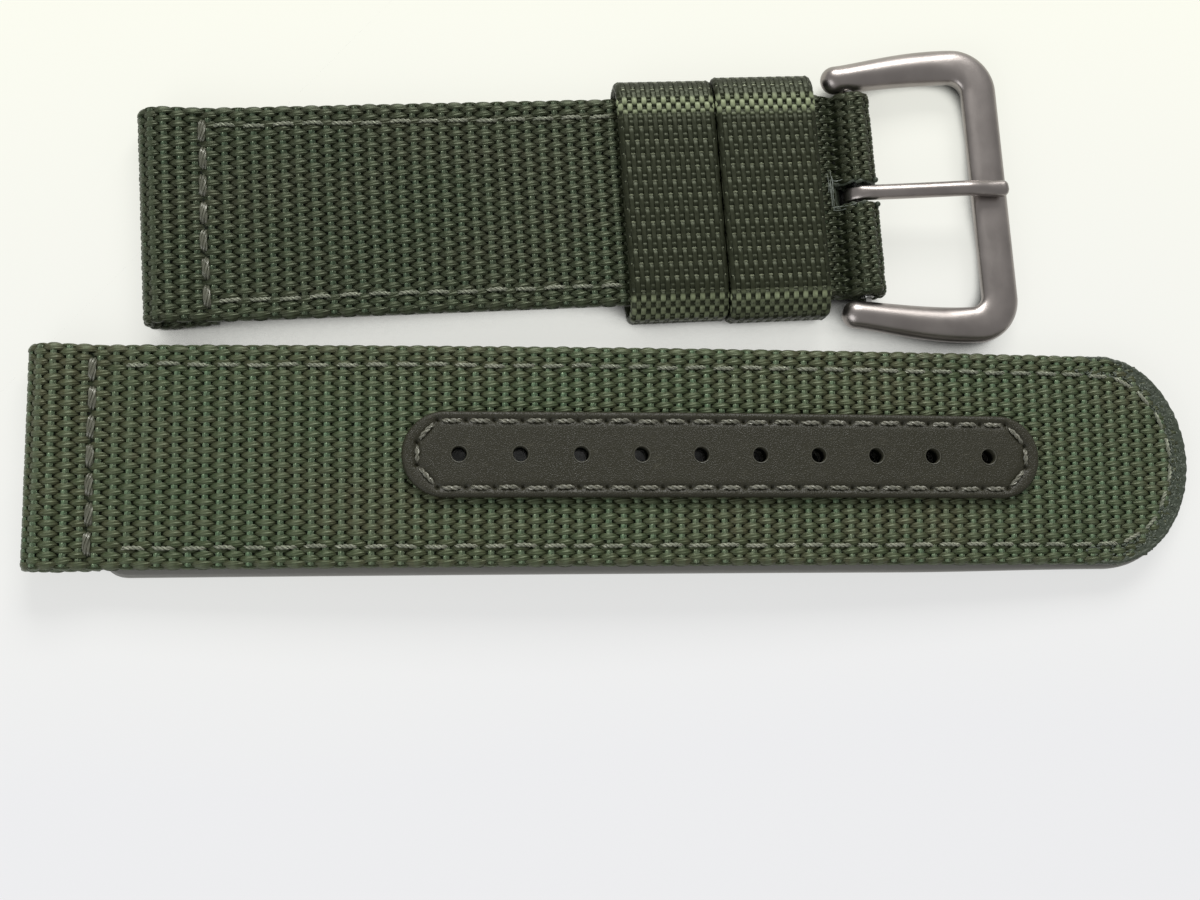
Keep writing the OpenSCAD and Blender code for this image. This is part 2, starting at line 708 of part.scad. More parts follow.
buckle_half_webbing();
buckle_half_lining();
buckle_half_edge_thread_top();
buckle_half_edge_thread_under();
buckle_half_lug_thread_top();
buckle_half_lug_thread_under();
fold_thread_top();
fold_thread_under();
fixed_keeper();
free_keeper();
free_keeper_seam_thread();
buckle_frame();
buckle_tongue();
spring_bar_barrel();
spring_bar_plunger_left();
spring_bar_plunger_right();
spring_bar_spring();
hole_half_webbing();
hole_half_lining();
hole_patch();
patch_thread_top();
patch_thread_under();
hole_half_edge_thread_top();
hole_half_edge_thread_under();
hole_half_lug_thread_top();
hole_half_lug_thread_under();
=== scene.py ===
"""Looks of a two-piece fabric watch strap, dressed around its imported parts.

Every size here is in millimetres and in the part's own frame: X runs along the buckle half
towards the buckle, Y across it and Z out of its face. A mesh is turned into metres when it
is made.
"""

import logging
import math
from collections.abc import Callable, Iterable, Sequence
from dataclasses import dataclass, replace
from enum import Enum
from typing import Any, Optional, Union

import bpy
import numpy as np
from mathutils import Matrix, Vector


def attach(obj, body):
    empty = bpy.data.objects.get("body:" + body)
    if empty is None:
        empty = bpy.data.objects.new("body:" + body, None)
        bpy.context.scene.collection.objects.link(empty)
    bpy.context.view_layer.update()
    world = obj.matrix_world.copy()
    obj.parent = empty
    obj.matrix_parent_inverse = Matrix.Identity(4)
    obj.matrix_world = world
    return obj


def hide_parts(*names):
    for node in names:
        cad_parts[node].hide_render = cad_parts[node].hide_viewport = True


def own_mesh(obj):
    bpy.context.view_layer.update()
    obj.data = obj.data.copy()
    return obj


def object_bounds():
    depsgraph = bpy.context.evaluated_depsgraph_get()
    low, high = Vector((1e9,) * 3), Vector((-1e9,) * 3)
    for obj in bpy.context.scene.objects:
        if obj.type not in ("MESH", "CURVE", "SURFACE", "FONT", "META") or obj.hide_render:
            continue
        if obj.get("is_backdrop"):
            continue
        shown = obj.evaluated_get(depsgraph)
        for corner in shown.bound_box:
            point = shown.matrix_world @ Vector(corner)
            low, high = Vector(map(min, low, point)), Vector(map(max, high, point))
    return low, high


LOG = logging.getLogger("strap")
METRES = 0.001
ENDS_TO_A_PIECE = 17
UP = (0.0, 0.0, 1.0)
DOWN = (0.0, 0.0, -1.0)
Array = np.ndarray
Values = Union[float, Array]
Number = Union["Sock", float]
Colour = tuple[float, float, float, float]
BLACK: Colour = (0.0, 0.0, 0.0, 1.0)
WHITE: Colour = (1.0, 1.0, 1.0, 1.0)

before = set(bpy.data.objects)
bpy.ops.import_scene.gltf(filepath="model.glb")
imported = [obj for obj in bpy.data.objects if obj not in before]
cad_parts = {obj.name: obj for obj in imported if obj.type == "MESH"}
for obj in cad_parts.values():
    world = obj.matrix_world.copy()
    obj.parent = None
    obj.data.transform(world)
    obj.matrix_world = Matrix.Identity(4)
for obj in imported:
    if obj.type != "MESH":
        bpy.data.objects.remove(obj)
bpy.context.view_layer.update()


def srgb(red: float, green: float, blue: float) -> Colour:
    """Turn a display colour of 0 to 255 into the linear colour that a shader takes."""
    def linear(value: float) -> float:
        """Turn one channel."""
        value /= 255
        return value / 12.92 if value <= 0.04045 else ((value + 0.055) / 1.055) ** 2.4
    return linear(red), linear(green), linear(blue), 1.0


@dataclass(frozen=True)
class Sock:
    """An output socket of a material, which can be added and multiplied like a plain number."""

    shade: "Shade"
    socket: bpy.types.NodeSocket

    def maths(self, operation: str, *values: Number, clamp: bool = False) -> "Sock":
        """Add a Math node.

        Args:
            operation: The node's operation, such as ADD.
            values: Its inputs, in order.
            clamp: Whether the result is kept from 0 to 1.

        Returns:
            The result.
        """
        settings = {"operation": operation, "use_clamp": clamp}
        return self.shade.node("ShaderNodeMath", settings, dict(enumerate(values)))["Value"]

    def __add__(self, other: Number) -> "Sock":
        """Return self + other."""
        return self.maths("ADD", self, other)

    __radd__ = __add__

    def __sub__(self, other: Number) -> "Sock":
        """Return self - other."""
        return self.maths("SUBTRACT", self, other)

    def __rsub__(self, other: Number) -> "Sock":
        """Return other - self."""
        return self.maths("SUBTRACT", other, self)

    def __mul__(self, other: Number) -> "Sock":
        """Return self * other."""
        return self.maths("MULTIPLY", self, other)

    __rmul__ = __mul__

    def sine(self) -> "Sock":
        """Return the sine of self, in radians."""
        return self.maths("SINE", self)

    def clamped(self) -> "Sock":
        """Return self kept from 0 to 1."""
        return self.maths("ADD", self, 0.0, clamp=True)


@dataclass(frozen=True)
class Outputs:
    """The outputs of a material's node, found by name and wrapped for shader maths."""

    shade: "Shade"
    node: bpy.types.Node

    def __getitem__(self, name: str) -> Sock:
        """Return the output with that identifier or name."""
        return Sock(self.shade, find_socket(self.node.outputs, name))


def find_socket(sockets: Iterable[bpy.types.NodeSocket], name: Union[str, int]) -> bpy.types.NodeSocket:
    """Find a socket by its place, identifier or name.

    Args:
        sockets: A node's inputs or outputs.
        name: The socket's place among them, its identifier or its name.

    Returns:
        The socket.
    """
    sockets = list(sockets)
    if isinstance(name, int):
        return sockets[name]
    by_id = [s for s in sockets if s.identifier == name]
    return (by_id or [s for s in sockets if s.name == name and s.enabled])[0]


class Shade:
    """A material under construction: a Principled shader and the nodes that feed it."""

    def __init__(self, name: str, **constants: Any) -> None:
        """Start a material.

        Args:
            name: The material's name.
            constants: Values set straight on the shader's sockets, with _ for a space.
        """
        self.material = bpy.data.materials.new(name)
        self.material.use_nodes = True
        self.tree = self.material.node_tree
        self.shader = self.tree.nodes["Principled BSDF"]
        for key, value in constants.items():
            self.feed(key.replace("_", " "), value)

    def feed(self, socket: str, value: Any) -> None:
        """Set or link one of the shader's sockets.

        Args:
            socket: The socket's name.
            value: A constant, or a Sock to link.
        """
        self._put(self.shader, socket, value)

    def _put(self, node: bpy.types.Node, name: Union[str, int], value: Any) -> None:
        """Set or link an input socket of a node."""
        target = find_socket(node.inputs, name)
        if isinstance(value, Sock):
            self.tree.links.new(value.socket, target)
        else:
            target.default_value = value

    def node(self, kind: str, settings: Optional[dict[str, Any]] = None,
             inputs: Optional[dict[Union[str, int], Any]] = None) -> Outputs:
        """Add a node.

        Args:
            kind: The node's type.
            settings: Its settings, which are set first.
            inputs: The value or link of each input socket.

        Returns:
            The node's outputs.
        """
        made = self.tree.nodes.new(kind)
        for key, value in (settings or {}).items():
            setattr(made, key, value)
        for name, value in (inputs or {}).items():
            self._put(made, name, value)
        return Outputs(self, made)

    def blend(self, factor: Number, low: Any, high: Any, how: str = "MIX") -> Sock:
        """Mix two colours.

        Args:
            factor: 0 gives low and 1 gives high.
            low: The first colour.
            high: The second colour.
            how: The way of mixing.

        Returns:
            The mixed colour.
        """
        settings = {"data_type": "RGBA", "blend_type": how, "clamp_factor": True}
        inputs = {"Factor_Float": factor, "A_Color": low, "B_Color": high}
        return self.node("ShaderNodeMix", settings, inputs)["Result_Color"]

    def place(self, stretch: tuple[float, float, float] = (1, 1, 1)) -> Sock:
        """Return the place in millimetres, stretched along each axis."""
        coords = self.node("ShaderNodeTexCoord")["Object"]
        scale = tuple(axis / METRES for axis in stretch)
        settings = {"operation": "MULTIPLY"}
        return self.node("ShaderNodeVectorMath", settings, {0: coords, 1: scale})["Vector"]

    def noise(self, where: Sock, scale: float, detail: float = 2, rough: float = 0.5) -> Sock:
        """Return noise around 0.5 at a place in millimetres, with scale bumps to a millimetre."""
        inputs = {"Vector": where, "Scale": scale, "Detail": detail, "Roughness": rough}
        return self.node("ShaderNodeTexNoise", None, inputs)["Fac"]

    def spread(self, value: Sock, low: float, high: float) -> Sock:
        """Stretch the range from low to high to 0 to 1, kept inside it."""
        inputs = {"Value": value, "From Min": low, "From Max": high}
        return self.node("ShaderNodeMapRange", {"clamp": True}, inputs)["Result"]

    def attribute(self, name: str) -> Outputs:
        """Read a mesh attribute."""
        return self.node("ShaderNodeAttribute", {"attribute_name": name})

    def bump(self, height: Sock, depth: float, under: Optional[Sock] = None) -> Sock:
        """Feed the shader's normal with relief.

        Args:
            height: The relief, from 0 to 1.
            depth: How deep it is, in millimetres.
            under: The normal of a coarser relief below it.

        Returns:
            The normal.
        """
        relief = {"Height": height, "Distance": depth * METRES, "Strength": 1.0}
        below = {} if under is None else {"Normal": under}
        normal = self.node("ShaderNodeBump", None, {**relief, **below})["Normal"]
        self.feed("Normal", normal)
        return normal


@dataclass(frozen=True)
class YarnFinish:
    """Bundles of fine nylon filaments, each bundle a little different from the next.

    TWIST is how far the filaments turn in a millimetre and APART how far one bundle's start
    lies from the next. SHADED is the fine mottling's dark end and BETWEEN the painted shade in
    the gaps between filaments. The dive colour is painted shade where a yarn dives under its
    neighbours or is pressed in, the colour on the very tops of the crowns is a painted
    highlight, and the paler colour above a lift of 1.1 is a painted highlight on opened bends.
    """

    TWIST = 3.5
    APART = 40
    SHADED = (0.1, 0.1, 0.1, 1.0)
    # Painted shade in the gaps between filaments.
    BETWEEN = (0.01, 0.012, 0.008, 1.0)

    name: str
    crown: Colour
    fresh: Colour
    # Painted shade where a yarn dives under its neighbours or is pressed in.
    dive: Colour
    roughness: float = 0.46
    sheen: float = 0.25
    gloss: float = 0.5
    glint: Colour = (0.9, 1.0, 0.72, 1.0)
    filaments: float = 9
    relief: float = 0.035
    # Painted highlight on opened bends, strongest at the upper bend towards the light; left out, the crown
    # colour is used.
    worn_and_lit: Optional[Colour] = None
    # Painted highlight on the very tops of the crowns; left out, the crown colour is used.
    rubs_and_sheen: Optional[Colour] = None

    def material(self) -> bpy.types.Material:
        """Make the material.

        Returns:
            The material. It reads the attributes yarn (length along, turn around, lift) and
            strand (a random number for each bundle).
        """
        shade = Shade(self.name, Sheen_Weight=self.sheen, Sheen_Roughness=0.4, Sheen_Tint=self.crown,
                      Specular_IOR_Level=self.gloss, Specular_Tint=self.glint)
        yarn = shade.attribute("yarn")["Vector"]
        parts = shade.node("ShaderNodeSeparateXYZ", None, {"Vector": yarn})
        along, around, lift = parts["X"], parts["Y"], parts["Z"]
        strand = shade.attribute("strand")["Fac"]
        cloudy = shade.noise(shade.place((0.5, 1, 1)), 0.12, 2)
        fine = shade.noise(shade.place(), 1.9, 2)
        each = shade.noise(shade.place(), 0.85, 1)
        hue = shade.spread(cloudy + 0.2 * strand + 0.45 * each + 0.5 * lift.clamped(), 0.95, 1.45)
        body = shade.blend(hue, self.crown, self.fresh)
        # Painted highlight: the very tops of the crowns turn towards a paler colour.
        body = shade.blend(0.6 * shade.spread(lift, 0.94, 1.0), body, self.rubs_and_sheen or self.crown)
        # Painted shade: a low lift, where the yarn dives or is pressed in, turns towards the dark dive
        # colour.
        body = shade.blend(shade.spread(lift, 0.95, 0.1), body, self.dive)
        # Painted highlight: a lift above 1.1, on the opened bends, turns towards a paler colour.
        body = shade.blend(shade.spread(lift, 1.1, 1.8), body, self.worn_and_lit or self.crown)
        body = shade.blend(0.5, body, shade.blend(fine, self.SHADED, WHITE), "SOFT_LIGHT")
        turn = (around * self.filaments + along * self.TWIST + strand * self.APART).sine()
        thread = 0.5 + 0.5 * turn
        # Painted shade in the gaps between filaments.
        shade.feed("Base Color", shade.blend(0.16 * (1 - thread), body, self.BETWEEN))
        shade.feed("Roughness", self.roughness + 0.12 * (fine - 0.5))
        shade.bump(thread, self.relief)
        return shade.material


@dataclass(frozen=True)
class CoreFinish:
    """The inside of a woven band, seen only in the gaps between its yarns, coloured dark as painted shade.
    """

    SHADOW = (0.002, 0.003, 0.002, 1.0)

    name: str
    colour: Colour

    def material(self) -> bpy.types.Material:
        """Make the material."""
        shade = Shade(self.name, Roughness=0.85, Specular_IOR_Level=0.2)
        where = shade.place()
        picks = shade.node("ShaderNodeTexWave", {"bands_direction": "DIAGONAL"},
                           {"Vector": where, "Scale": 0.7, "Distortion": 2.0})["Fac"]
        # Diagonal bands towards SHADOW: painted shadow over the dark core.
        shade.feed("Base Color", shade.blend(picks, self.colour, self.SHADOW))
        shade.bump(picks, 0.12)
        return shade.material


@dataclass(frozen=True)
class HideFinish:
    """A smooth or pebbled sheet of leather or coated lining."""

    name: str
    face: Colour
    worn_and_lit: Colour
    pebbles: float
    depth: float
    roughness: float
    gloss: float = 0.5

    def material(self) -> bpy.types.Material:
        """Make the material."""
        shade = Shade(self.name, Specular_IOR_Level=self.gloss)
        where = shade.place()
        cells = shade.node("ShaderNodeTexVoronoi", {"feature": "SMOOTH_F1"},
                           {"Vector": where, "Scale": self.pebbles, "Smoothness": 0.35})["Distance"]
        cloudy = shade.noise(where, 0.22, 4)
        scuffs = shade.noise(shade.place((0.35, 1, 1)), 2.2, 5, 0.65)
        tops = shade.spread(cells, 0.55, 0.1)
        wear = shade.spread(scuffs, 0.56, 0.72) * shade.spread(cloudy, 0.42, 0.62)
        body = shade.blend(0.55 * wear + 0.18 * tops * cloudy, self.face, self.worn_and_lit)
        shade.feed("Base Color", body)
        shade.feed("Roughness", (self.roughness + 0.3 * (cloudy - 0.5) - 0.08 * tops).clamped())
        relief = 0.7 * tops + 0.3 * shade.noise(where, self.pebbles * 2.4, 3)
        shade.bump(relief, self.depth, shade.bump(cloudy, self.depth * 2))
        return shade.material


@dataclass(frozen=True)
class SteelFinish:
    """Steel with a satin, bead-blasted or turned face."""

    name: str
    colour: Colour
    roughness: float
    grain: float
    depth: float

    def material(self) -> bpy.types.Material:
        """Make the material."""
        shade = Shade(self.name, Metallic=1.0)
        where = shade.place()
        blast = shade.noise(where, self.grain, 2, 0.6)
        cloudy = shade.noise(where, 0.25, 3)
        rubs_and_sheen = shade.noise(shade.place((1, 0.4, 1)), 1.4, 4, 0.6)
        bright = tuple(min(1.0, channel * 1.25) for channel in self.colour[:3]) + (1.0,)
        shade.feed("Base Color", shade.blend(shade.spread(cloudy, 0.35, 0.7), self.colour, bright))
        shade.feed("Roughness", self.roughness + 0.10 * (rubs_and_sheen - 0.5) + 0.08 * (blast - 0.5))
        shade.bump(blast, self.depth)
        return shade.material


class Finish(Enum):
    """The strap's finishes."""

    # The webbing's paler colour for its crown tops is a painted highlight.
    WEBBING = YarnFinish("webbing_nylon", srgb(70, 69, 50), srgb(57, 69, 46), srgb(33, 39, 23),
                         roughness=0.4, gloss=0.45, rubs_and_sheen=srgb(82, 90, 70))
    WEFT = YarnFinish("webbing_weft", srgb(98, 108, 85), srgb(89, 116, 88), srgb(46, 53, 37),
                      roughness=0.36, gloss=0.9)
    # Darker copies of the webbing and its weft for the buckle half: painted shade over the whole half.
    DEEP_WEBBING = YarnFinish("shaded_webbing_nylon", srgb(49, 49, 36), srgb(41, 49, 32), srgb(25, 30, 17),
                              roughness=0.4, gloss=0.45, rubs_and_sheen=srgb(67, 75, 57))
    DEEP_WEFT = YarnFinish("shaded_webbing_weft", srgb(72, 79, 62), srgb(63, 82, 63), srgb(34, 39, 26),
                           roughness=0.38, gloss=0.7)
    # The ribbon's pale colour on its bends is a painted highlight.
    RIBBON = YarnFinish("ribbon_nylon", srgb(29, 31, 19), srgb(27, 30, 18), srgb(15, 17, 9),
                        roughness=0.42, sheen=0.05, gloss=0.35, filaments=6, relief=0.012,
                        worn_and_lit=srgb(136, 145, 114))
    RIBBON_WEFT = YarnFinish("ribbon_weft", srgb(122, 126, 104), srgb(110, 115, 94), srgb(48, 51, 37),
                             roughness=0.28, gloss=0.8, filaments=4, relief=0.01)
    THREAD = YarnFinish("sewing_thread", srgb(144, 145, 131), srgb(122, 126, 112), srgb(84, 87, 75),
                        roughness=0.36, gloss=0.8, filaments=4)
    PATCH_THREAD = YarnFinish("patch_sewing_thread", srgb(130, 129, 117), srgb(110, 110, 96),
                              srgb(68, 68, 58), roughness=0.3, gloss=0.9,
                              glint=(1.0, 1.0, 0.94, 1.0), filaments=4, relief=0.05)
    HEAVY_THREAD = YarnFinish("heavy_sewing_thread", srgb(105, 105, 92), srgb(91, 93, 79),
                              srgb(60, 62, 52), roughness=0.3, gloss=1.0,
                              glint=(1.0, 1.0, 0.92, 1.0), filaments=5)
    FRAY = YarnFinish("frayed_fibre", srgb(150, 158, 150), srgb(136, 146, 136), srgb(110, 118, 108),
                      roughness=0.3, gloss=0.9, glint=(1.0, 1.0, 1.0, 1.0), filaments=2, relief=0.004)
    # The core's dark colour is painted shade in the gaps between yarns.
    CORE = CoreFinish("webbing_core", srgb(40, 47, 28))
    LINING = HideFinish("smooth_lining", srgb(122, 121, 116), srgb(142, 144, 142), 3.0, 0.01, 0.42)
    LEATHER = HideFinish("patch_hide", srgb(45, 44, 33), srgb(72, 70, 57), 7.0, 0.045, 0.42, 0.3)
    RIM = HideFinish("patch_cut_edge", srgb(60, 59, 48), srgb(84, 82, 70), 5.0, 0.02, 0.46)
    MELT = HideFinish("melted_nylon", srgb(62, 69, 58), srgb(120, 126, 113), 2.6, 0.07, 0.45, 0.3)
    MELT_BITS = HideFinish("melted_nylon_bits", srgb(72, 80, 68), srgb(122, 130, 116), 4.0, 0.05, 0.4)
    STEEL = SteelFinish("satin_steel", srgb(148, 142, 139), 0.35, 6.0, 0.004)
    BRIGHT_STEEL = SteelFinish("turned_steel", srgb(190, 190, 188), 0.25, 3.0, 0.003)

    def material(self) -> bpy.types.Material:
        """Return the finish's material, made once."""
        found = bpy.data.materials.get(self.value.name)
        return found or self.value.material()


class MeshParts:
    """Collects grids of quads in millimetres and makes one piece of them."""

    def __init__(self) -> None:
        """Start with nothing."""
        self.points: list[Array] = []
        self.faces: list[Array] = []
        self.yarn: list[Array] = []
        self.strand: list[Array] = []
        self.count = 0

    def grid(self, points: Array, around: bool = False, along: bool = False,
             capped: bool = False, yarn: Optional[Array] = None, strand: float = 0.5) -> None:
        """Add a grid of quads.

        Args:
            points: Rows and columns of points.
            around: Whether the last column joins the first.
            along: Whether the last row joins the first.
            capped: Whether the first and last rows are closed with a face.
            yarn: The yarn attribute of each point.
            strand: The strand attribute of the whole grid.
        """
        rows, columns = points.shape[:2]
        index = self.count + np.arange(rows * columns).reshape(rows, columns)
        low = index if along else index[:-1]
        high = np.roll(index, -1, 0) if along else index[1:]
        if around:
            left, right = low, np.roll(low, -1, 1)
            left_up, right_up = high, np.roll(high, -1, 1)
        else:
            left, right, left_up, right_up = low[:, :-1], low[:, 1:], high[:, :-1], high[:, 1:]
        quads = np.stack([left, right, right_up, left_up], -1).reshape(-1, 4)
        corners = points.reshape(-1, 3)[quads - self.count]
        middle = points.reshape(-1, 3).mean(0)
        volume = np.einsum("ij,ij->i", corners[:, 0] - middle,
                           np.cross(corners[:, 1] - corners[:, 0], corners[:, 2] - corners[:, 0])).sum()
        caps = [index[0][::-1][None], index[-1][None]] if capped else []
        for faces in [quads, *caps]:
            self.faces.append(faces if volume > 0 else faces[:, ::-1])
        self.points.append(points.reshape(-1, 3))
        marks = np.full((rows * columns, 3), 0.5) if yarn is None else yarn.reshape(-1, 3)
        self.yarn.append(marks)
        self.strand.append(np.full(rows * columns, strand))
        self.count += rows * columns

    def piece(self, name: str, finish: Finish, turned: Optional[Matrix] = None) -> bpy.types.Object:
        """Make the piece.

        Args:
            name: The piece's name.
            finish: What it is made of.
            turned: A move in millimetres that takes its points to the part's frame.

        Returns:
            The object.
        """
        points = np.concatenate(self.points)
        if turned is not None:
            move = np.array(turned)
            points = points @ move[:3, :3].T + move[:3, 3]
        corners = np.concatenate([f.ravel() for f in self.faces])
        sizes = np.concatenate([np.full(len(f), f.shape[1]) for f in self.faces])
        mesh = bpy.data.meshes.new(name)
        mesh.vertices.add(len(points))
        mesh.vertices.foreach_set("co", (points * METRES).astype(np.float32).ravel())
        mesh.loops.add(len(corners))
        mesh.loops.foreach_set("vertex_index", corners.astype(np.int32))
        mesh.polygons.add(len(sizes))
        mesh.polygons.foreach_set("loop_start", (np.cumsum(sizes) - sizes).astype(np.int32))
        mesh.update(calc_edges=True)
        mesh.validate()
        mesh.shade_smooth()
        for label, kind, key, values in (("yarn", "FLOAT_VECTOR", "vector", self.yarn),
                                         ("strand", "FLOAT", "value", self.strand)):
            made = mesh.attributes.new(label, kind, "POINT")
            made.data.foreach_set(key, np.concatenate(values).astype(np.float32).ravel())
        mesh.materials.append(finish.material())
        piece = bpy.data.objects.new(name, mesh)
        bpy.context.scene.collection.objects.link(piece)
        return piece


def dress(piece: bpy.types.Object, body: str, nodes: Sequence[str]) -> None:
    """Hang a piece on its body.

    Args:
        piece: The piece.
        body: The CAD body that it moves with.
        nodes: The CAD nodes that it stands for.
    """
    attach(piece, body)
    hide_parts(*nodes)
    LOG.info("%s: %d faces on %s", piece.name, len(piece.data.polygons), body)


def apply_modifiers(piece: bpy.types.Object) -> None:
    """Turn a piece's modifiers into plain mesh."""
    depsgraph = bpy.context.evaluated_depsgraph_get()
    made = bpy.data.meshes.new_from_object(piece.evaluated_get(depsgraph))
    piece.modifiers.clear()
    piece.data = made


def unit(vectors: Array) -> Array:
    """Return vectors at length one."""
    return vectors / np.linalg.norm(vectors, axis=-1, keepdims=True)


def lengths(line: Array) -> Array:
    """Return how far along a line each of its points lies."""
    return np.concatenate([[0], np.cumsum(np.linalg.norm(np.diff(line, axis=0), axis=1))])


def sample(line: Array, gone: Array, s: Array) -> Array:
    """Return the places at lengths s of a plane line whose points lie at the lengths gone."""
    return np.stack([np.interp(s, gone, line[:, axis]) for axis in (0, 1)], 1)


def bell(distance: Array, reach: float, power: float = 2) -> Array:
    """Return 1 at no distance, falling to nothing past a reach, more steeply with a higher power."""
    return np.exp(-np.abs(distance / reach) ** power)


def ease(share: Array) -> Array:
    """Return a share of 0 to 1 that starts and stops gently."""
    return share ** 2 * (3 - 2 * share)


def squared(turn: Array, power: Values) -> Array:
    """Return how far out a circle's points move to make it a rounded square, more with the power."""
    return (np.abs(np.cos(turn)) ** power + np.abs(np.sin(turn)) ** power) ** (-1 / power)


def circle(centre: Sequence[float], radius: float, angles: Array) -> Array:
    """Return a circle's points at some angles."""
    return np.stack([centre[0] + radius * np.cos(angles), centre[1] + radius * np.sin(angles)], 1)


def arc(centre: Sequence[float], radius: float, start: float, end: float) -> Array:
    """Return points on an arc, a tenth of a millimetre apart, between two angles in degrees."""
    steps = max(3, int(abs(end - start) * math.pi / 180 * radius / 0.1))
    return circle(centre, radius, np.radians(np.linspace(start, end, steps)))


def tangent_angle(point: Sequence[float], centre: Sequence[float], radius: float, side: int) -> float:
    """Return where the line from a point touches a circle.

    Args:
        point: The point.
        centre: The circle's centre.
        radius: The circle's radius.
        side: 1 for the touch to the left of the way to the point, -1 for the right.

    Returns:
        The angle of the touch, seen from the centre, in degrees.
    """
    dx, dz = point[0] - centre[0], point[1] - centre[1]
    return math.degrees(math.atan2(dz, dx)) + side * math.degrees(math.acos(radius / math.hypot(dx, dz)))


class Route:
    """The outer line of a band in a plane, with the direction out of its face.

    STEP is the distance between its points, and SOFTEN the length to each side over which its
    direction is evened out.
    """

    STEP = 0.05
    SOFTEN = 0.35
    SAME_POINT = 1e-6

    def __init__(self, line: Array, across: str = "Y", closed: bool = False) -> None:
        """Resample a line evenly.

        Args:
            line: Points in the plane, first coordinate and height.
            across: The axis that the band's width lies on: Y for a line in XZ, X for YZ.
            closed: Whether the line's end joins its start.
        """
        apart = np.linalg.norm(np.diff(line, axis=0), axis=1) > self.SAME_POINT
        line = line[np.concatenate([[True], apart])]
        gone = lengths(line)
        self.length = float(gone[-1])
        self.s = np.linspace(0, self.length, int(self.length / self.STEP) + 1)
        flat = sample(line, gone, self.s)
        tangent = unit(np.gradient(flat, axis=0))
        window = int(self.SOFTEN / self.STEP) * 2 + 1
        mode = "wrap" if closed else "edge"
        padded = np.pad(tangent, ((window // 2, window // 2), (0, 0)), mode=mode)
        kernel = np.ones(window) / window
        tangent = unit(np.stack([np.convolve(padded[:, axis], kernel, "valid") for axis in (0, 1)], 1))
        self.flat, self.flat_tangent = flat, tangent
        self.across = across

    def spread(self, plane: Array) -> Array:
        """Place plane coordinates in space."""
        zero = np.zeros(len(plane))
        if self.across == "Y":
            return np.stack([plane[:, 0], zero, plane[:, 1]], 1)
        return np.stack([zero, plane[:, 0], plane[:, 1]], 1)

    def at(self, s: Array) -> tuple[Array, Array, Array]:
        """Return the points, outward directions and sideways directions at lengths s."""
        tangent = unit(sample(self.flat_tangent, self.s, s))
        outward = self.spread(np.stack([-tangent[:, 1], tangent[:, 0]], 1))
        point = self.spread(sample(self.flat, self.s, s))
        return point, outward, unit(np.cross(outward, self.spread(tangent)))

    def s_at(self, x: float, top: bool = True) -> float:
        """Return the length at which the line passes x on its upper or lower run."""
        facing = self.flat_tangent[:, 0] > 0 if top else self.flat_tangent[:, 0] < 0
        distance = np.where(facing, np.abs(self.flat[:, 0] - x), np.inf)
        return float(self.s[int(np.argmin(distance))])


@dataclass(frozen=True)
class WarpEnd:
    """One warp yarn's place in a band's cross section.

    It swings to and fro about a middle that lies out from a point on the band's middle plane,
    in a direction that leans away from the face towards the edge.
    """

    across: float
    lean: float
    middle: float
    swing: float
    parity: int


@dataclass(frozen=True)
class Weave:
    """A plain weave: each warp yarn runs over one pick and under the next.

    Warp yarns run along the band, end_pitch apart, and picks run across it, one to each pick of
    length. A warp yarn is crown_w wide on top of its bend and swings up and down by swing, and
    hold keeps it up for longer. The edge values are those of the yarns round the band's edges.
    """

    thick: float
    end_pitch: float
    pick: float
    yarn_t: float
    crown_w: float
    swing: float
    hold: float = 1.5
    square: float = 2.2
    second: float = 0.0
    edge_pitch: float = 0.68
    edge_swing: float = 0.16
    edge_w: float = 0.94
    weft_w: float = 0.66
    weft_t: float = 0.4
    weft_depth: float = 0.33
    weft_bend: float = 0.12
    rings: int = 6
    sides: int = 8
    wander: float = 0.025
    odd_dim: float = 0.0
    uneven: float = 0.07
    pick_sides: int = 7
    pick_drift: float = 0.04
    edge_start: float = 0.12

    @property
    def edge_turns(self) -> int:
        """The number of warp yarns round an edge."""
        return max(2, round(math.pi * self.thick / 2 / self.edge_pitch))

    def face_ends(self, half_w: float) -> list[WarpEnd]:
        """Lay out the warp yarns that show on both faces of a band."""
        flat = half_w - self.thick / 2
        count = round(2 * flat / self.end_pitch)
        middle = self.thick / 2 - self.yarn_t / 2 - self.swing
        return [WarpEnd(-flat + (k + 0.5) * 2 * flat / count, 0, middle, self.swing, k)
                for k in range(count)]

    def ends(self, half_w: float) -> list[WarpEnd]:
        """Lay out the warp yarns over a band's faces and round both its edges.

        Args:
            half_w: Half the band's width.

        Returns:
            The warp yarns, first the faces' and then the edges'.
        """
        faces = self.face_ends(half_w)
        flat, edge_r = half_w - self.thick / 2, self.thick / 2
        middle = edge_r - self.yarn_t / 2 - self.edge_swing
        edges = []
        for k in range(self.edge_turns):
            lean = math.pi * (k + 0.5) / self.edge_turns
            edges.append(WarpEnd(-flat, -lean, middle, self.edge_swing, -1 - k))
            edges.append(WarpEnd(flat, lean, middle, self.edge_swing, len(faces) + k))
        return faces + edges


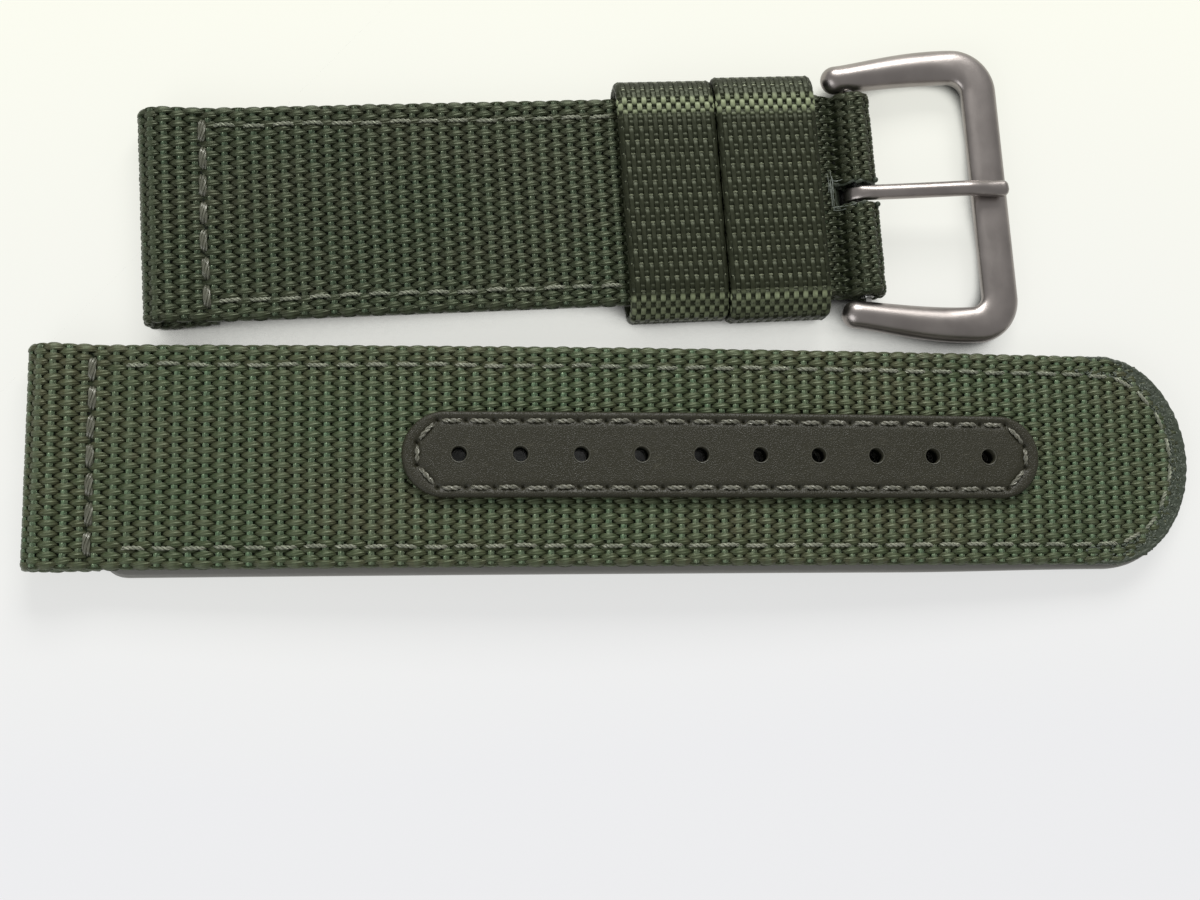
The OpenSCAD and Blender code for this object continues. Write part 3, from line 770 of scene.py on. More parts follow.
@dataclass
class Yarns:
    """Lays the yarns of a weave along a route, the outer line that their crowns touch."""

    weave: Weave
    route: Route
    half_w: float
    seed: int

    def __post_init__(self) -> None:
        """Start the yarns' small differences and an empty mesh."""
        self.random = np.random.default_rng(self.seed)
        self.parts = MeshParts()

    def press(self, s: Array, across: Array) -> tuple[Array, Array]:
        """Return how far a yarn is pressed in, and the share of its swing that is left."""
        return np.zeros(len(s)), np.ones(len(s))

    def tone(self, s: Array) -> Array:
        """Return the painted shade (below 0), or how opened the weave is with its painted paleness (above
        0), at most 1.
        """
        return np.zeros(len(s))

    def lay(self, end: WarpEnd, start: float, stop: float) -> None:
        """Lay one warp yarn from start to stop along the route.

        Args:
            end: The yarn's place across the band.
            start: The length where it starts.
            stop: The length where it stops.
        """
        w = self.weave
        s = np.linspace(start, stop, max(3, int((stop - start) / w.pick * w.rings)))
        point, outward, side = self.route.at(s)
        phase, drift = self.random.uniform(0, 2 * math.pi, 2)
        turn = math.pi * (s / w.pick + end.parity)
        tone = self.tone(s)
        opened = tone.clip(min=0)
        dip = ((1 - np.cos(turn)) / 2) ** w.hold
        dip = np.maximum(dip, w.second * ((1 - np.cos(turn - math.pi / 2)) / 2) ** (2 * w.hold))
        dip += opened * (((1 + np.cos(2 * turn - math.pi * end.parity)) / 2) ** 1.5 - dip)
        shaped = 1 - 2 * dip
        sunk, left = self.press(s, np.full(len(s), end.across))
        uneven = 1 - w.uneven * (1 + np.sin(s * 0.83 + phase) * np.sin(s * 2.1 + drift))
        top = np.cos(end.lean) * outward + np.sin(end.lean) * side
        level = np.cos(end.lean) * side - np.sin(end.lean) * outward
        wander = w.wander * (np.sin(s * 0.9 + phase) + np.sin(s * 2.3 + drift))
        rise = end.middle + end.swing * (1 + (shaped * uneven - 1) * left) - sunk
        centre = (point - outward * w.thick / 2 + side * end.across + top * rise[:, None]
                  + level * wander[:, None])
        tangent = unit(np.gradient(centre, axis=0))
        over = unit(np.cross(level, tangent))
        over = over * np.sign((over * top).sum(-1, keepdims=True))
        pitch, crown = (w.edge_pitch, w.edge_w) if end.lean else (w.end_pitch, w.crown_w)
        half = (pitch + (crown - pitch) * shaped.clip(min=-0.4) + 0.5 * sunk) / 2
        turn = 2 * math.pi * (np.arange(w.sides) + 0.5) / w.sides
        section = np.stack([np.cos(turn), np.sin(turn)])
        flat, tall = np.sign(section) * np.abs(section) ** (2 / w.square)
        ring = (centre[:, None] + level[:, None] * (half[:, None] * flat)[..., None]
                + over[:, None] * (w.yarn_t / 2 * tall)[None, :, None])
        # Lift mark for the painted light in the yarn finish: low where the yarn dives, lower as painted
        # shade where tone is below 0 and where the yarn is pressed in at the seams and the fold's dip, also
        # lower along the flattened tip, and above 1 for the painted highlight on opened bends.
        height = (1 - dip) * (1 + opened) + tone.clip(max=0) - 3 * sunk
        marks = np.stack(np.broadcast_arrays(s[:, None], turn[None], height[:, None]), -1)
        self.parts.grid(ring, around=True, capped=True, yarn=marks, strand=self.random.uniform())

    def pick(self, number: int, left: float, right: float) -> None:
        """Lay one pick, the yarn that runs across, between two places.

        Args:
            number: The pick's number along the route.
            left: Where it starts across the band.
            right: Where it stops.
        """
        w = self.weave
        faces = w.face_ends(self.half_w)
        step = faces[1].across - faces[0].across
        across = np.linspace(left, right, max(4, int((right - left) / w.end_pitch * 2.5)))
        row = np.stack([across, (across - faces[0].across) / step, np.zeros(len(across))])
        flat = self.half_w - w.thick / 2
        bow = np.linspace(w.edge_start, math.pi - w.edge_start, 4 * w.edge_turns)
        beyond = bow / math.pi * w.edge_turns
        if right > flat:
            edge = np.stack([np.full(len(bow), flat), len(faces) - 0.5 + beyond, bow])
            row = np.concatenate([row[:, row[0] < flat], edge], 1)
        if left < -flat:
            edge = np.stack([np.full(len(bow), -flat), -0.5 - beyond, -bow])[:, ::-1]
            row = np.concatenate([edge, row[:, row[0] > -flat]], 1)
        across, index, lean = row
        s = np.full(len(across), number * w.pick)
        point, outward, side = self.route.at(s)
        sunk, _ = self.press(s, across)
        rise = w.thick / 2 - w.weft_depth - w.weft_bend * np.cos(math.pi * (number + index)) - sunk
        top = np.cos(lean)[:, None] * outward + np.sin(lean)[:, None] * side
        along = np.cross(side, outward)
        phase = self.random.uniform(0, 2 * math.pi)
        drift = w.pick_drift * np.sin(across * 1.7 + phase)
        centre = (point - outward * w.thick / 2 + side * across[:, None] + top * rise[:, None]
                  + along * drift[:, None])
        turn = np.linspace(0, 2 * math.pi, w.pick_sides, endpoint=False) + math.pi / 2
        ring = (centre[:, None] + along[:, None] * (w.weft_w / 2 * np.cos(turn))[None, :, None]
                + top[:, None] * (w.weft_t / 2 * np.sin(turn))[None, :, None])
        # Pick lift mark: lower as painted shade where the pick is pressed in and wherever tone is not 0;
        # every other pick is dimmer by odd_dim.
        height = 0.85 - w.odd_dim * (number % 2) - 2 * np.abs(sunk) - np.abs(self.tone(s))
        marks = np.stack(np.broadcast_arrays(across[:, None], turn[None], height[:, None]), -1)
        self.parts.grid(ring, around=True, capped=True, yarn=marks, strand=self.random.uniform())

    def take(self) -> MeshParts:
        """Return the mesh of the yarns laid so far and start the next."""
        laid, self.parts = self.parts, MeshParts()
        return laid


def band(parts: MeshParts, route: Route, s: Array, low: float, high: float,
         left: Array, right: Array, corner: float) -> None:
    """Add a solid band with rounded edges along a route.

    Args:
        parts: The mesh that takes it.
        route: The outer line of the band.
        s: The lengths of its cross sections.
        low: The height of its inner face over the route, which is below zero.
        high: The height of its outer face over the route.
        left: Its left edge at each cross section.
        right: Its right edge at each cross section.
        corner: The radius of its edges.
    """
    point, outward, side = route.at(s)
    corner = min(corner, (high - low) / 2 - 0.01)
    turn = np.radians(np.arange(0, 91, 30))
    across, height = [], []
    for centre_right, centre_high, first in ((1, 1, 0), (0, 1, 90), (0, 0, 180), (1, 0, 270)):
        angle = turn + math.radians(first)
        base = (right - corner) if centre_right else (left + corner)
        across.append(base[:, None] + corner * np.cos(angle))
        top = (high - corner) if centre_high else (low + corner)
        height.append(np.broadcast_to(top + corner * np.sin(angle), (len(s), len(angle))))
    across, height = np.concatenate(across, 1), np.concatenate(height, 1)
    ring = point[:, None] + side[:, None] * across[..., None] + outward[:, None] * height[..., None]
    parts.grid(ring, around=True, capped=True)


def tube(parts: MeshParts, line: Array, radius: Values, sides: int = 8,
         strand: float = 0.5) -> None:
    """Add a round tube along a line.

    Args:
        parts: The mesh that takes it.
        line: The points of the tube's middle.
        radius: Its radius, or its radius at each point.
        sides: The number of its sides.
        strand: Its strand attribute.
    """
    tangent = unit(np.gradient(line, axis=0))
    guide = np.array([0.0, 0.0, 1.0]) if abs(tangent[:, 2]).mean() < 0.8 else np.array([1.0, 0.0, 0.0])
    side = unit(np.cross(tangent, guide))
    up = np.cross(side, tangent)
    turn = np.linspace(0, 2 * math.pi, sides, endpoint=False)
    thick = np.broadcast_to(radius, len(line))[:, None, None]
    spokes = side[:, None] * np.cos(turn)[:, None] + up[:, None] * np.sin(turn)[:, None]
    ring = line[:, None] + thick * spokes
    lift = np.full((len(line), 1), 0.8)
    marks = np.stack(np.broadcast_arrays(lengths(line)[:, None], turn[None], lift), -1)
    parts.grid(ring, around=True, capped=True, yarn=marks, strand=strand)


@dataclass(frozen=True)
class Thread:
    """A twisted sewing thread, laid down in single stitches.

    Its ends dive by sink, later with a higher dive, and its plies lie flattened on the fabric,
    swell a little and taper towards the ends.
    """

    width: float
    plies: int
    twist: float
    sink: float
    finish: Finish
    wander: float = 0.05
    dive: float = 3.5
    flattened: float = 0.7
    swell: float = 1.12
    taper: float = 0.42

    def stitch(self, parts: MeshParts, start: Array, stop: Array, up: Array,
               random: np.random.Generator) -> None:
        """Lay one stitch, whose ends dive into the fabric.

        Args:
            parts: The mesh that takes it.
            start: Where the stitch comes out of the fabric.
            stop: Where it goes back in.
            up: The direction out of the fabric.
            random: The source of its small differences.
        """
        t = np.linspace(0, 1, 15)
        run = stop - start
        length = float(np.linalg.norm(run))
        side = unit(np.cross(up, run))
        start, stop = (end + side * random.uniform(-self.wander, self.wander) for end in (start, stop))
        run = stop - start
        sway, phase = random.uniform(-self.wander, self.wander), random.uniform(0, 2 * math.pi)
        middle = start + run * t[:, None] + side * (sway * np.sin(math.pi * t))[:, None]
        middle = middle - up * (self.sink * np.abs(2 * t - 1) ** self.dive)[:, None]
        ply_r = self.width / 2 / (1 + math.sin(math.pi / self.plies)) * math.sin(math.pi / self.plies)
        off = self.width / 2 - ply_r
        strand = random.uniform()
        for ply in range(self.plies):
            angle = 2 * math.pi * (t * length / self.twist + ply / self.plies) + phase
            height = (self.flattened * np.sin(angle))[:, None]
            line = middle + off * (side * np.cos(angle)[:, None] + up * height)
            thick = ply_r * self.swell * (1 - self.taper * np.abs(2 * t - 1) ** 4)
            tube(parts, line, thick, 6, strand)

    def about(self, parts: MeshParts, middle: Sequence[float], half: Sequence[float], up: Sequence[float],
              random: np.random.Generator) -> None:
        """Lay one stitch to both sides of its middle.

        Args:
            parts: The mesh that takes it.
            middle: The stitch's middle.
            half: The way from its middle to its end.
            up: The direction out of the fabric.
            random: The source of its small differences.
        """
        middle, half = np.array(middle, float), np.array(half, float)
        self.stitch(parts, middle - half, middle + half, np.array(up), random)


@dataclass
class Strap:
    """What both halves share: the webbing, its lining and its seams."""

    BODY = ""
    WARP = Finish.WEBBING
    WEFT = Finish.WEFT
    LINING_CORNER = 2.4
    ROUNDING = 0.3
    LINING_ROUNDING = 0.32
    NEEDLE_GAP = 0.42

    strap_w: float = 22.0
    webbing_t: float = 1.3
    lining_t: float = 1.1
    lining_overhang: float = 0.4
    lining_shift: float = 0.25
    bore_r: float = 1.0
    turn_under_x: float = 5.1
    lining_x: float = 5.3
    seam_x: float = 4.1
    face_z: float = 1.5
    flap_z: float = -1.1
    edge_seam: float = 2.05
    edge_pitch: float = 2.9
    cross_pitch: float = 2.75
    cross_seam_end: float = 1.1
    stitch_share: float = 0.8
    lug_stitch_share: float = 0.88
    lug_top_z: float = 1.44
    lug_under_z: float = -1.12
    weave: Weave = Weave(1.3, 0.5, 1.45, 0.4, 0.79, 0.28)
    thread: Thread = Thread(0.43, 2, 1.0, 0.34, Finish.THREAD, 0.08)
    heavy_thread: Thread = Thread(0.78, 5, 5.5, 0.5, Finish.HEAVY_THREAD, 0.1)
    core_depth: float = 0.37
    shortest_pick: float = 1.0
    placed: Optional[Matrix] = None

    @property
    def half_w(self) -> float:
        """Half the webbing's width."""
        return self.strap_w / 2

    @property
    def lug_r(self) -> float:
        """The outer radius of the webbing round its lug tunnel."""
        return self.bore_r + self.webbing_t

    @property
    def seam_y(self) -> float:
        """The distance of the edge seams from the middle line."""
        return self.half_w - self.edge_seam

    @property
    def webbing(self) -> str:
        """The CAD node of the webbing."""
        return f"{self.BODY}_webbing"

    def hang(self, parts: MeshParts, name: str, finish: Finish, slot: str = "webbing", *nodes: str) -> None:
        """Make a piece of a mesh and hang it on this half.

        Args:
            parts: The mesh.
            name: The piece's name.
            finish: What it is made of.
            slot: Not used.
            nodes: The CAD nodes that it stands for, the webbing if left out.
        """
        dress(parts.piece(name, finish, self.placed), self.BODY, nodes or [self.webbing])

    def lug_line(self, top: Sequence[float]) -> Array:
        """Return the outer line from the turned-under end round the lug tunnel up to a point."""
        low = tangent_angle((self.turn_under_x, self.flap_z), (0, 0), self.lug_r, -1)
        high = tangent_angle(top, (0, 0), self.lug_r, 1)
        start = np.array([[self.turn_under_x, self.flap_z]])
        return np.concatenate([start, arc((0, 0), self.lug_r, low, high - 360), np.array([top])])

    def reach_at(self, s: float) -> float:
        """Return how far a pick reaches to each side at a length along the webbing."""
        return self.half_w

    def lay_warp(self, yarns: Yarns, runs: Callable[[WarpEnd], Sequence[tuple[float, float]]]) -> None:
        """Lay the webbing's warp yarns, in a few pieces.

        Args:
            yarns: Lays them.
            runs: Gives the lengths between which a yarn lies, once or twice along the route.
        """
        ends = self.weave.ends(self.half_w)
        for first in range(0, len(ends), ENDS_TO_A_PIECE):
            for end in ends[first:first + ENDS_TO_A_PIECE]:
                for start, stop in runs(end):
                    yarns.lay(end, start, stop)
            name = f"{self.BODY}_warp_{first // ENDS_TO_A_PIECE + 1}"
            self.hang(yarns.take(), name, self.WARP)

    def lay_picks(self, yarns: Yarns, gap: tuple[float, float], aside: float) -> None:
        """Lay the webbing's picks, which leave its middle open over a gap.

        Args:
            yarns: Lays them.
            gap: The lengths between which the middle is open.
            aside: Half the width of the opening.
        """
        for number in range(1, int(yarns.route.length / self.weave.pick) + 1):
            s = number * self.weave.pick
            reach = self.reach_at(s)
            if reach < self.shortest_pick:
                continue
            if gap[0] < s < gap[1]:
                yarns.pick(number, -reach, -aside)
                yarns.pick(number, aside, reach)
            else:
                yarns.pick(number, -reach, reach)
        self.hang(yarns.take(), f"{self.BODY}_picks", self.WEFT)

    def lining_stations(self, length: float) -> Array:
        """Return the lengths of the lining's cross sections, close together at its start."""
        corner = self.LINING_CORNER
        rounded = np.linspace(0, 1, 9)[:-1] ** 2 * corner
        return np.concatenate([rounded, np.arange(corner, length, 1.0), [length]])

    def lining_sides(self, s: Array) -> tuple[Array, Array]:
        """Return the lining's edges, rounded at its start and set a little to the left."""
        corner = self.LINING_CORNER
        drawn = corner - np.sqrt(np.maximum(corner ** 2 - (corner - s.clip(max=corner)) ** 2, 0))
        wide = self.half_w + self.lining_overhang
        return drawn - wide - self.lining_shift, wide - self.lining_shift - drawn

    def spread_out(self, start: float, stop: float, pitch: float) -> Array:
        """Return the middles of stitches spread evenly between two ends."""
        count = max(2, round(abs(stop - start) / pitch))
        return start + (stop - start) / count * (np.arange(count) + 0.5)

    def lug_stitches(self, random: np.random.Generator) -> None:
        """Sew the heavy cross seam at the lug end, above and below."""
        parts = MeshParts()
        half = self.cross_pitch * self.lug_stitch_share / 2
        reach = self.half_w - self.cross_seam_end
        for z, out in ((self.lug_top_z, UP), (self.lug_under_z, DOWN)):
            for y in self.spread_out(-reach, reach, self.cross_pitch):
                self.heavy_thread.about(parts, (self.seam_x, y, z), (0, half, 0), out, random)
        self.hang(parts, f"{self.BODY}_lug_stitches", self.heavy_thread.finish, "thread",
                  f"{self.BODY}_lug_thread_top", f"{self.BODY}_lug_thread_under")


class SewnYarns(Yarns):
    """Webbing yarns, pressed in along the edge seams and the lug seam.

    DEPTH is how deep a seam presses them, REACH how far to its sides, and STILLED the share of
    their swing that they lose there. The lug seam ends LUG_END inside the webbing's edge.
    """

    EDGE_DEPTH, EDGE_REACH = 0.1, 0.4
    LUG_DEPTH, LUG_REACH = 0.22, 0.55
    LUG_END = 0.8
    STILLED = 0.3

    def __init__(self, strap: Strap, route: Route, seed: int) -> None:
        """Keep the strap's seams.

        Args:
            strap: The half that the yarns belong to.
            route: Its outer line.
            seed: The seed of the yarns' small differences.
        """
        super().__init__(strap.weave, route, strap.half_w, seed)
        self.strap = strap
        self.lug_s = route.s_at(strap.seam_x)

    def press(self, s: Array, across: Array) -> tuple[Array, Array]:
        """Return how far a yarn is pressed in by the seams, and the share of its swing left."""
        sewn = s > self.lug_s
        beside = bell(np.abs(across) - self.strap.seam_y, self.EDGE_REACH) * sewn
        inside = np.abs(across) < self.strap.half_w - self.LUG_END
        lug = bell(s - self.lug_s, self.LUG_REACH) * inside
        sunk = self.EDGE_DEPTH * beside + self.LUG_DEPTH * lug
        return sunk, 1 - self.STILLED * np.maximum(beside, lug)


class FoldYarns(SewnYarns):
    """Yarns of the buckle half, which lie deep where the webbing dips before its fold.

    Their colour is darkened as painted shade, by SHADE in the dip and by FOLD_SHADE over the fold.
    """

    DIP_X, DIP_REACH, DIP_DEPTH = 0.7, 1.2, 0.08
    SHADE_REACH, SHADE, FOLD_SHADE = 1.5, 0.6, 0.3

    def press(self, s: Array, across: Array) -> tuple[Array, Array]:
        """Return how far a yarn is pressed in, also in the dip, and the share of its swing left."""
        sunk, left = super().press(s, across)
        dip = bell(s - self.route.s_at(self.strap.valley_x - self.DIP_X), self.DIP_REACH)
        return sunk + self.DIP_DEPTH * dip, left

    def tone(self, s: Array) -> Array:
        """Return the painted shade on the weave, darkest in the dip."""
        valley, end = (self.route.s_at(x) for x in (self.strap.valley_x, self.strap.bar_x + 1.5))
        folded = (s > valley) & (s < end + 2)
        return -self.SHADE * bell(s - valley + 0.4, self.SHADE_REACH) - self.FOLD_SHADE * folded


@dataclass
class BuckleHalf(Strap):
    """The half with the fold round the spring bar, its lining and its threads."""

    BODY = "buckle_half"
    # Darker copies of the webbing finishes: painted shade over the whole buckle half.
    WARP = Finish.DEEP_WEBBING
    WEFT = Finish.DEEP_WEFT
    WEAVE_SEED, THREAD_SEED, FRAY_SEED = 11, 12, 13
    MELT_DEPTH, MELT_R = 0.42, 0.2
    LUMP_X, LUMP_Y, LUMP_R = 1.3, 1.32, 0.3
    LIP_R, LIP_HALF_W, LIP_ROUNDS = 0.22, 1.2, 5
    FIBRES, FIBRE_R = 13, 0.026

    lining_overhang: float = -0.3
    lining_shift: float = 0.0
    bar_x: float = 71.4
    middle_z: float = 0.2
    tunnel_r: float = 0.8
    valley_x: float = 69.0
    valley_dip: float = 0.75
    valley_dip_under: float = 0.35
    valley_slope: float = 1.2
    flap_end_x: float = 58.2
    lining_end_x: float = 58.0
    slot_w: float = 2.5
    mouth_x: float = 68.8
    fixed_x1: float = 66.8
    fold_seams: tuple[float, float] = (59.5, 65.5)
    fold_crest: tuple[tuple[float, float], ...] = ((70.6, 2.05), (71.4, 2.28), (72.6, 1.9))

    def route(self) -> Route:
        """Return the webbing's outer line, from its turned-under end to its turned-back end."""
        centre, radius = (self.bar_x, self.middle_z), self.tunnel_r + self.webbing_t
        top = (self.valley_x, self.face_z - self.valley_dip)
        low = (self.valley_x, self.flap_z + self.valley_dip_under)
        first, last = tangent_angle(top, centre, radius, -1), tangent_angle(low, centre, radius, 1)
        slope_x = self.valley_x - self.valley_slope
        line = [self.lug_line((self.turn_under_x, self.face_z)), [[slope_x, self.face_z], top],
                arc(centre, radius, first, last if last < first else last - 360),
                [low, [slope_x, self.flap_z], [self.flap_end_x, self.flap_z]]]
        return Route(np.concatenate([np.array(part, float) for part in line]))

    def __post_init__(self) -> None:
        """Work out the outer line and where along it the tongue's slot starts and ends."""
        self.line = self.route()
        self.mouth_in = self.line.s_at(self.mouth_x)
        self.mouth_out = self.line.s_at(self.mouth_x, top=False)

    def build(self) -> None:
        """Build the webbing, lining and threads."""
        yarns = FoldYarns(self, self.line, self.WEAVE_SEED)
        jaw = self.slot_w / 2 - 0.05

        def runs(end: WarpEnd) -> list[tuple[float, float]]:
            """Return a yarn's run, in two where the tongue's slot parts it."""
            if abs(end.across) < jaw:
                return [(0, self.mouth_in), (self.mouth_out, self.line.length)]
            return [(0, self.line.length)]
        self.lay_warp(yarns, runs)
        self.lay_picks(yarns, (self.mouth_in - 0.3, self.mouth_out + 0.3), jaw)
        self.core()
        self.slot_edge()
        self.slot_fibres()
        self.lining()
        self.threads()

    def slot_edge(self) -> None:
        """Build the melted edge of the tongue's slot: its sides, a lump on each, and its lip."""
        melt = MeshParts()
        s = np.linspace(self.mouth_in, self.mouth_out, 60)
        point, outward, side = self.line.at(s)
        lump_s = (self.mouth_in + self.mouth_out) / 2 - self.LUMP_X
        lump_at = self.line.at(np.array([lump_s]))[0][0]
        swell = self.LUMP_R * np.sqrt(1 - np.linspace(-0.93, 0.93, 7) ** 2)
        for hand in (-1, 1):
            wave = 0.06 * np.sin(s * 3.1 + hand) + 0.04 * np.sin(s * 7.3)
            aside = (hand * (self.slot_w / 2 - 0.04 + wave))[:, None]
            line = point + side * aside - outward * self.MELT_DEPTH
            tube(melt, line, self.MELT_R + 0.05 * np.sin(s * 4.7 + hand), 8)
            leaning = np.array([0.5, 0.2 * hand, 0.8])
            lump = np.linspace(-0.34, 0.3, 7)[:, None] * leaning + (lump_at + [0, hand * self.LUMP_Y, 0])
            tube(melt, lump, swell, 10)
        point, outward, side = (row[0] for row in self.line.at(np.array([self.mouth_in])))
        y = np.linspace(-self.LIP_HALF_W, self.LIP_HALF_W, 14)
        ripple = 0.05 * np.sin(y * 4)[:, None] * [1, 0, 0]
        line = point - outward * self.MELT_DEPTH + side * y[:, None] + ripple
        for step in range(self.LIP_ROUNDS):
            tube(melt, line + np.array([0.2, 0, -0.3]) * step, self.LIP_R, 8)
        self.hang(melt, "slot_melted_edge", Finish.MELT)

    def slot_fibres(self) -> None:
        """Build the fibres that have come loose from the slot's edge, across it or along it."""
        random = np.random.default_rng(self.FRAY_SEED)
        fray = MeshParts()
        slope_x, valley_z = self.valley_x - self.valley_slope, self.face_z - self.valley_dip
        ground = np.array([(slope_x, self.face_z), (self.valley_x, valley_z), *self.fold_crest])
        t = np.linspace(0, 1, 16)[:, None]
        for k in range(self.FIBRES):
            across = k % 3 > 0
            start = np.array([self.mouth_x - 0.95 + 0.75 * random.uniform(), random.uniform(-1.9, 0.2), 0])
            run = np.array([random.uniform(-0.12, 0.12), random.uniform(1.2, 3.0), 0])
            if not across:
                start[1] = random.uniform(1.3, 1.7) * (1 if k % 2 else -1)
                run = np.array([random.uniform(0.9, 2.2), random.uniform(-0.1, 0.1), 0])
            curl = np.array([[random.uniform(-0.1, 0.1), random.uniform(-0.06, 0.06), 0]])
            line = start + run * t + curl * np.sin(math.pi * t * random.uniform(1, 2.2))
            height = np.interp(line[:, 0], ground[:, 0], ground[:, 1])
            line[:, 2] = height - 0.06 + 0.12 * np.sin(math.pi * t[:, 0])
            tube(fray, line, self.FIBRE_R, 5, random.uniform())
        self.hang(fray, "slot_fray", Finish.FRAY)

    def core(self) -> None:
        """Build the body of the webbing under its yarns, open at the tongue's slot."""
        parts = MeshParts()
        deep = self.core_depth
        wide, slot = self.half_w - deep, self.slot_w / 2
        beside = (self.mouth_in - 0.05, self.mouth_out + 0.05)
        runs = [(0.2, self.mouth_in, -wide, wide), (self.mouth_out, self.line.length - 0.2, -wide, wide),
                (*beside, -wide, -slot), (*beside, slot, wide)]
        for start, stop, left, right in runs:
            s = np.arange(start, stop + 0.15, 0.3).clip(max=stop)
            ones = np.ones(len(s))
            band(parts, self.line, s, -self.webbing_t, -deep, left * ones, right * ones, self.ROUNDING)
        self.hang(parts, "buckle_half_core", Finish.CORE)

    def lining(self) -> None:
        """Build the lining strip under the webbing."""
        top_z = self.flap_z + self.webbing_t
        line = Route(np.array([[self.lining_x, top_z], [self.lining_end_x, top_z]]))
        parts = MeshParts()
        s = self.lining_stations(line.length)
        left, right = self.lining_sides(s)
        band(parts, line, s, -self.lining_t, 0, left, right, self.LINING_ROUNDING)
        self.hang(parts, "buckle_half_lining_strip", Finish.LINING, "lining", "buckle_half_lining")

    def threads(self) -> None:
        """Sew the edge seams, the lug seam and the fold's seams."""
        random = np.random.default_rng(self.THREAD_SEED)
        edge, fold = MeshParts(), MeshParts()
        under_z = self.flap_z + self.webbing_t - self.lining_t + 0.15
        half = self.edge_pitch * self.stitch_share / 2
        rows = ((self.seam_x + 0.8, self.fixed_x1 - self.NEEDLE_GAP, self.face_z - 0.05, UP),
                (self.lining_x + 0.6, self.lining_end_x - 0.6, under_z, DOWN))
        for y in (-self.seam_y, self.seam_y):
            for start, stop, z, out in rows:
                for x in self.spread_out(start, stop, self.edge_pitch):
                    self.thread.about(edge, (x, y, z), (half, 0, 0), out, random)
        self.hang(edge, "buckle_half_edge_stitches", self.thread.finish, "thread",
                  "buckle_half_edge_thread_top", "buckle_half_edge_thread_under")
        self.lug_stitches(random)
        half = self.cross_pitch * self.stitch_share / 2
        reach = self.seam_y - self.NEEDLE_GAP
        for x in self.fold_seams:
            for y in self.spread_out(-reach, reach, self.cross_pitch):
                for z, out in ((self.face_z, UP), (-self.lug_r + 0.2, DOWN)):
                    self.thread.about(fold, (x, y, z), (0, half, 0), out, random)
        self.hang(fold, "fold_stitches", self.thread.finish, "thread", "fold_thread_top",
                  "fold_thread_under")


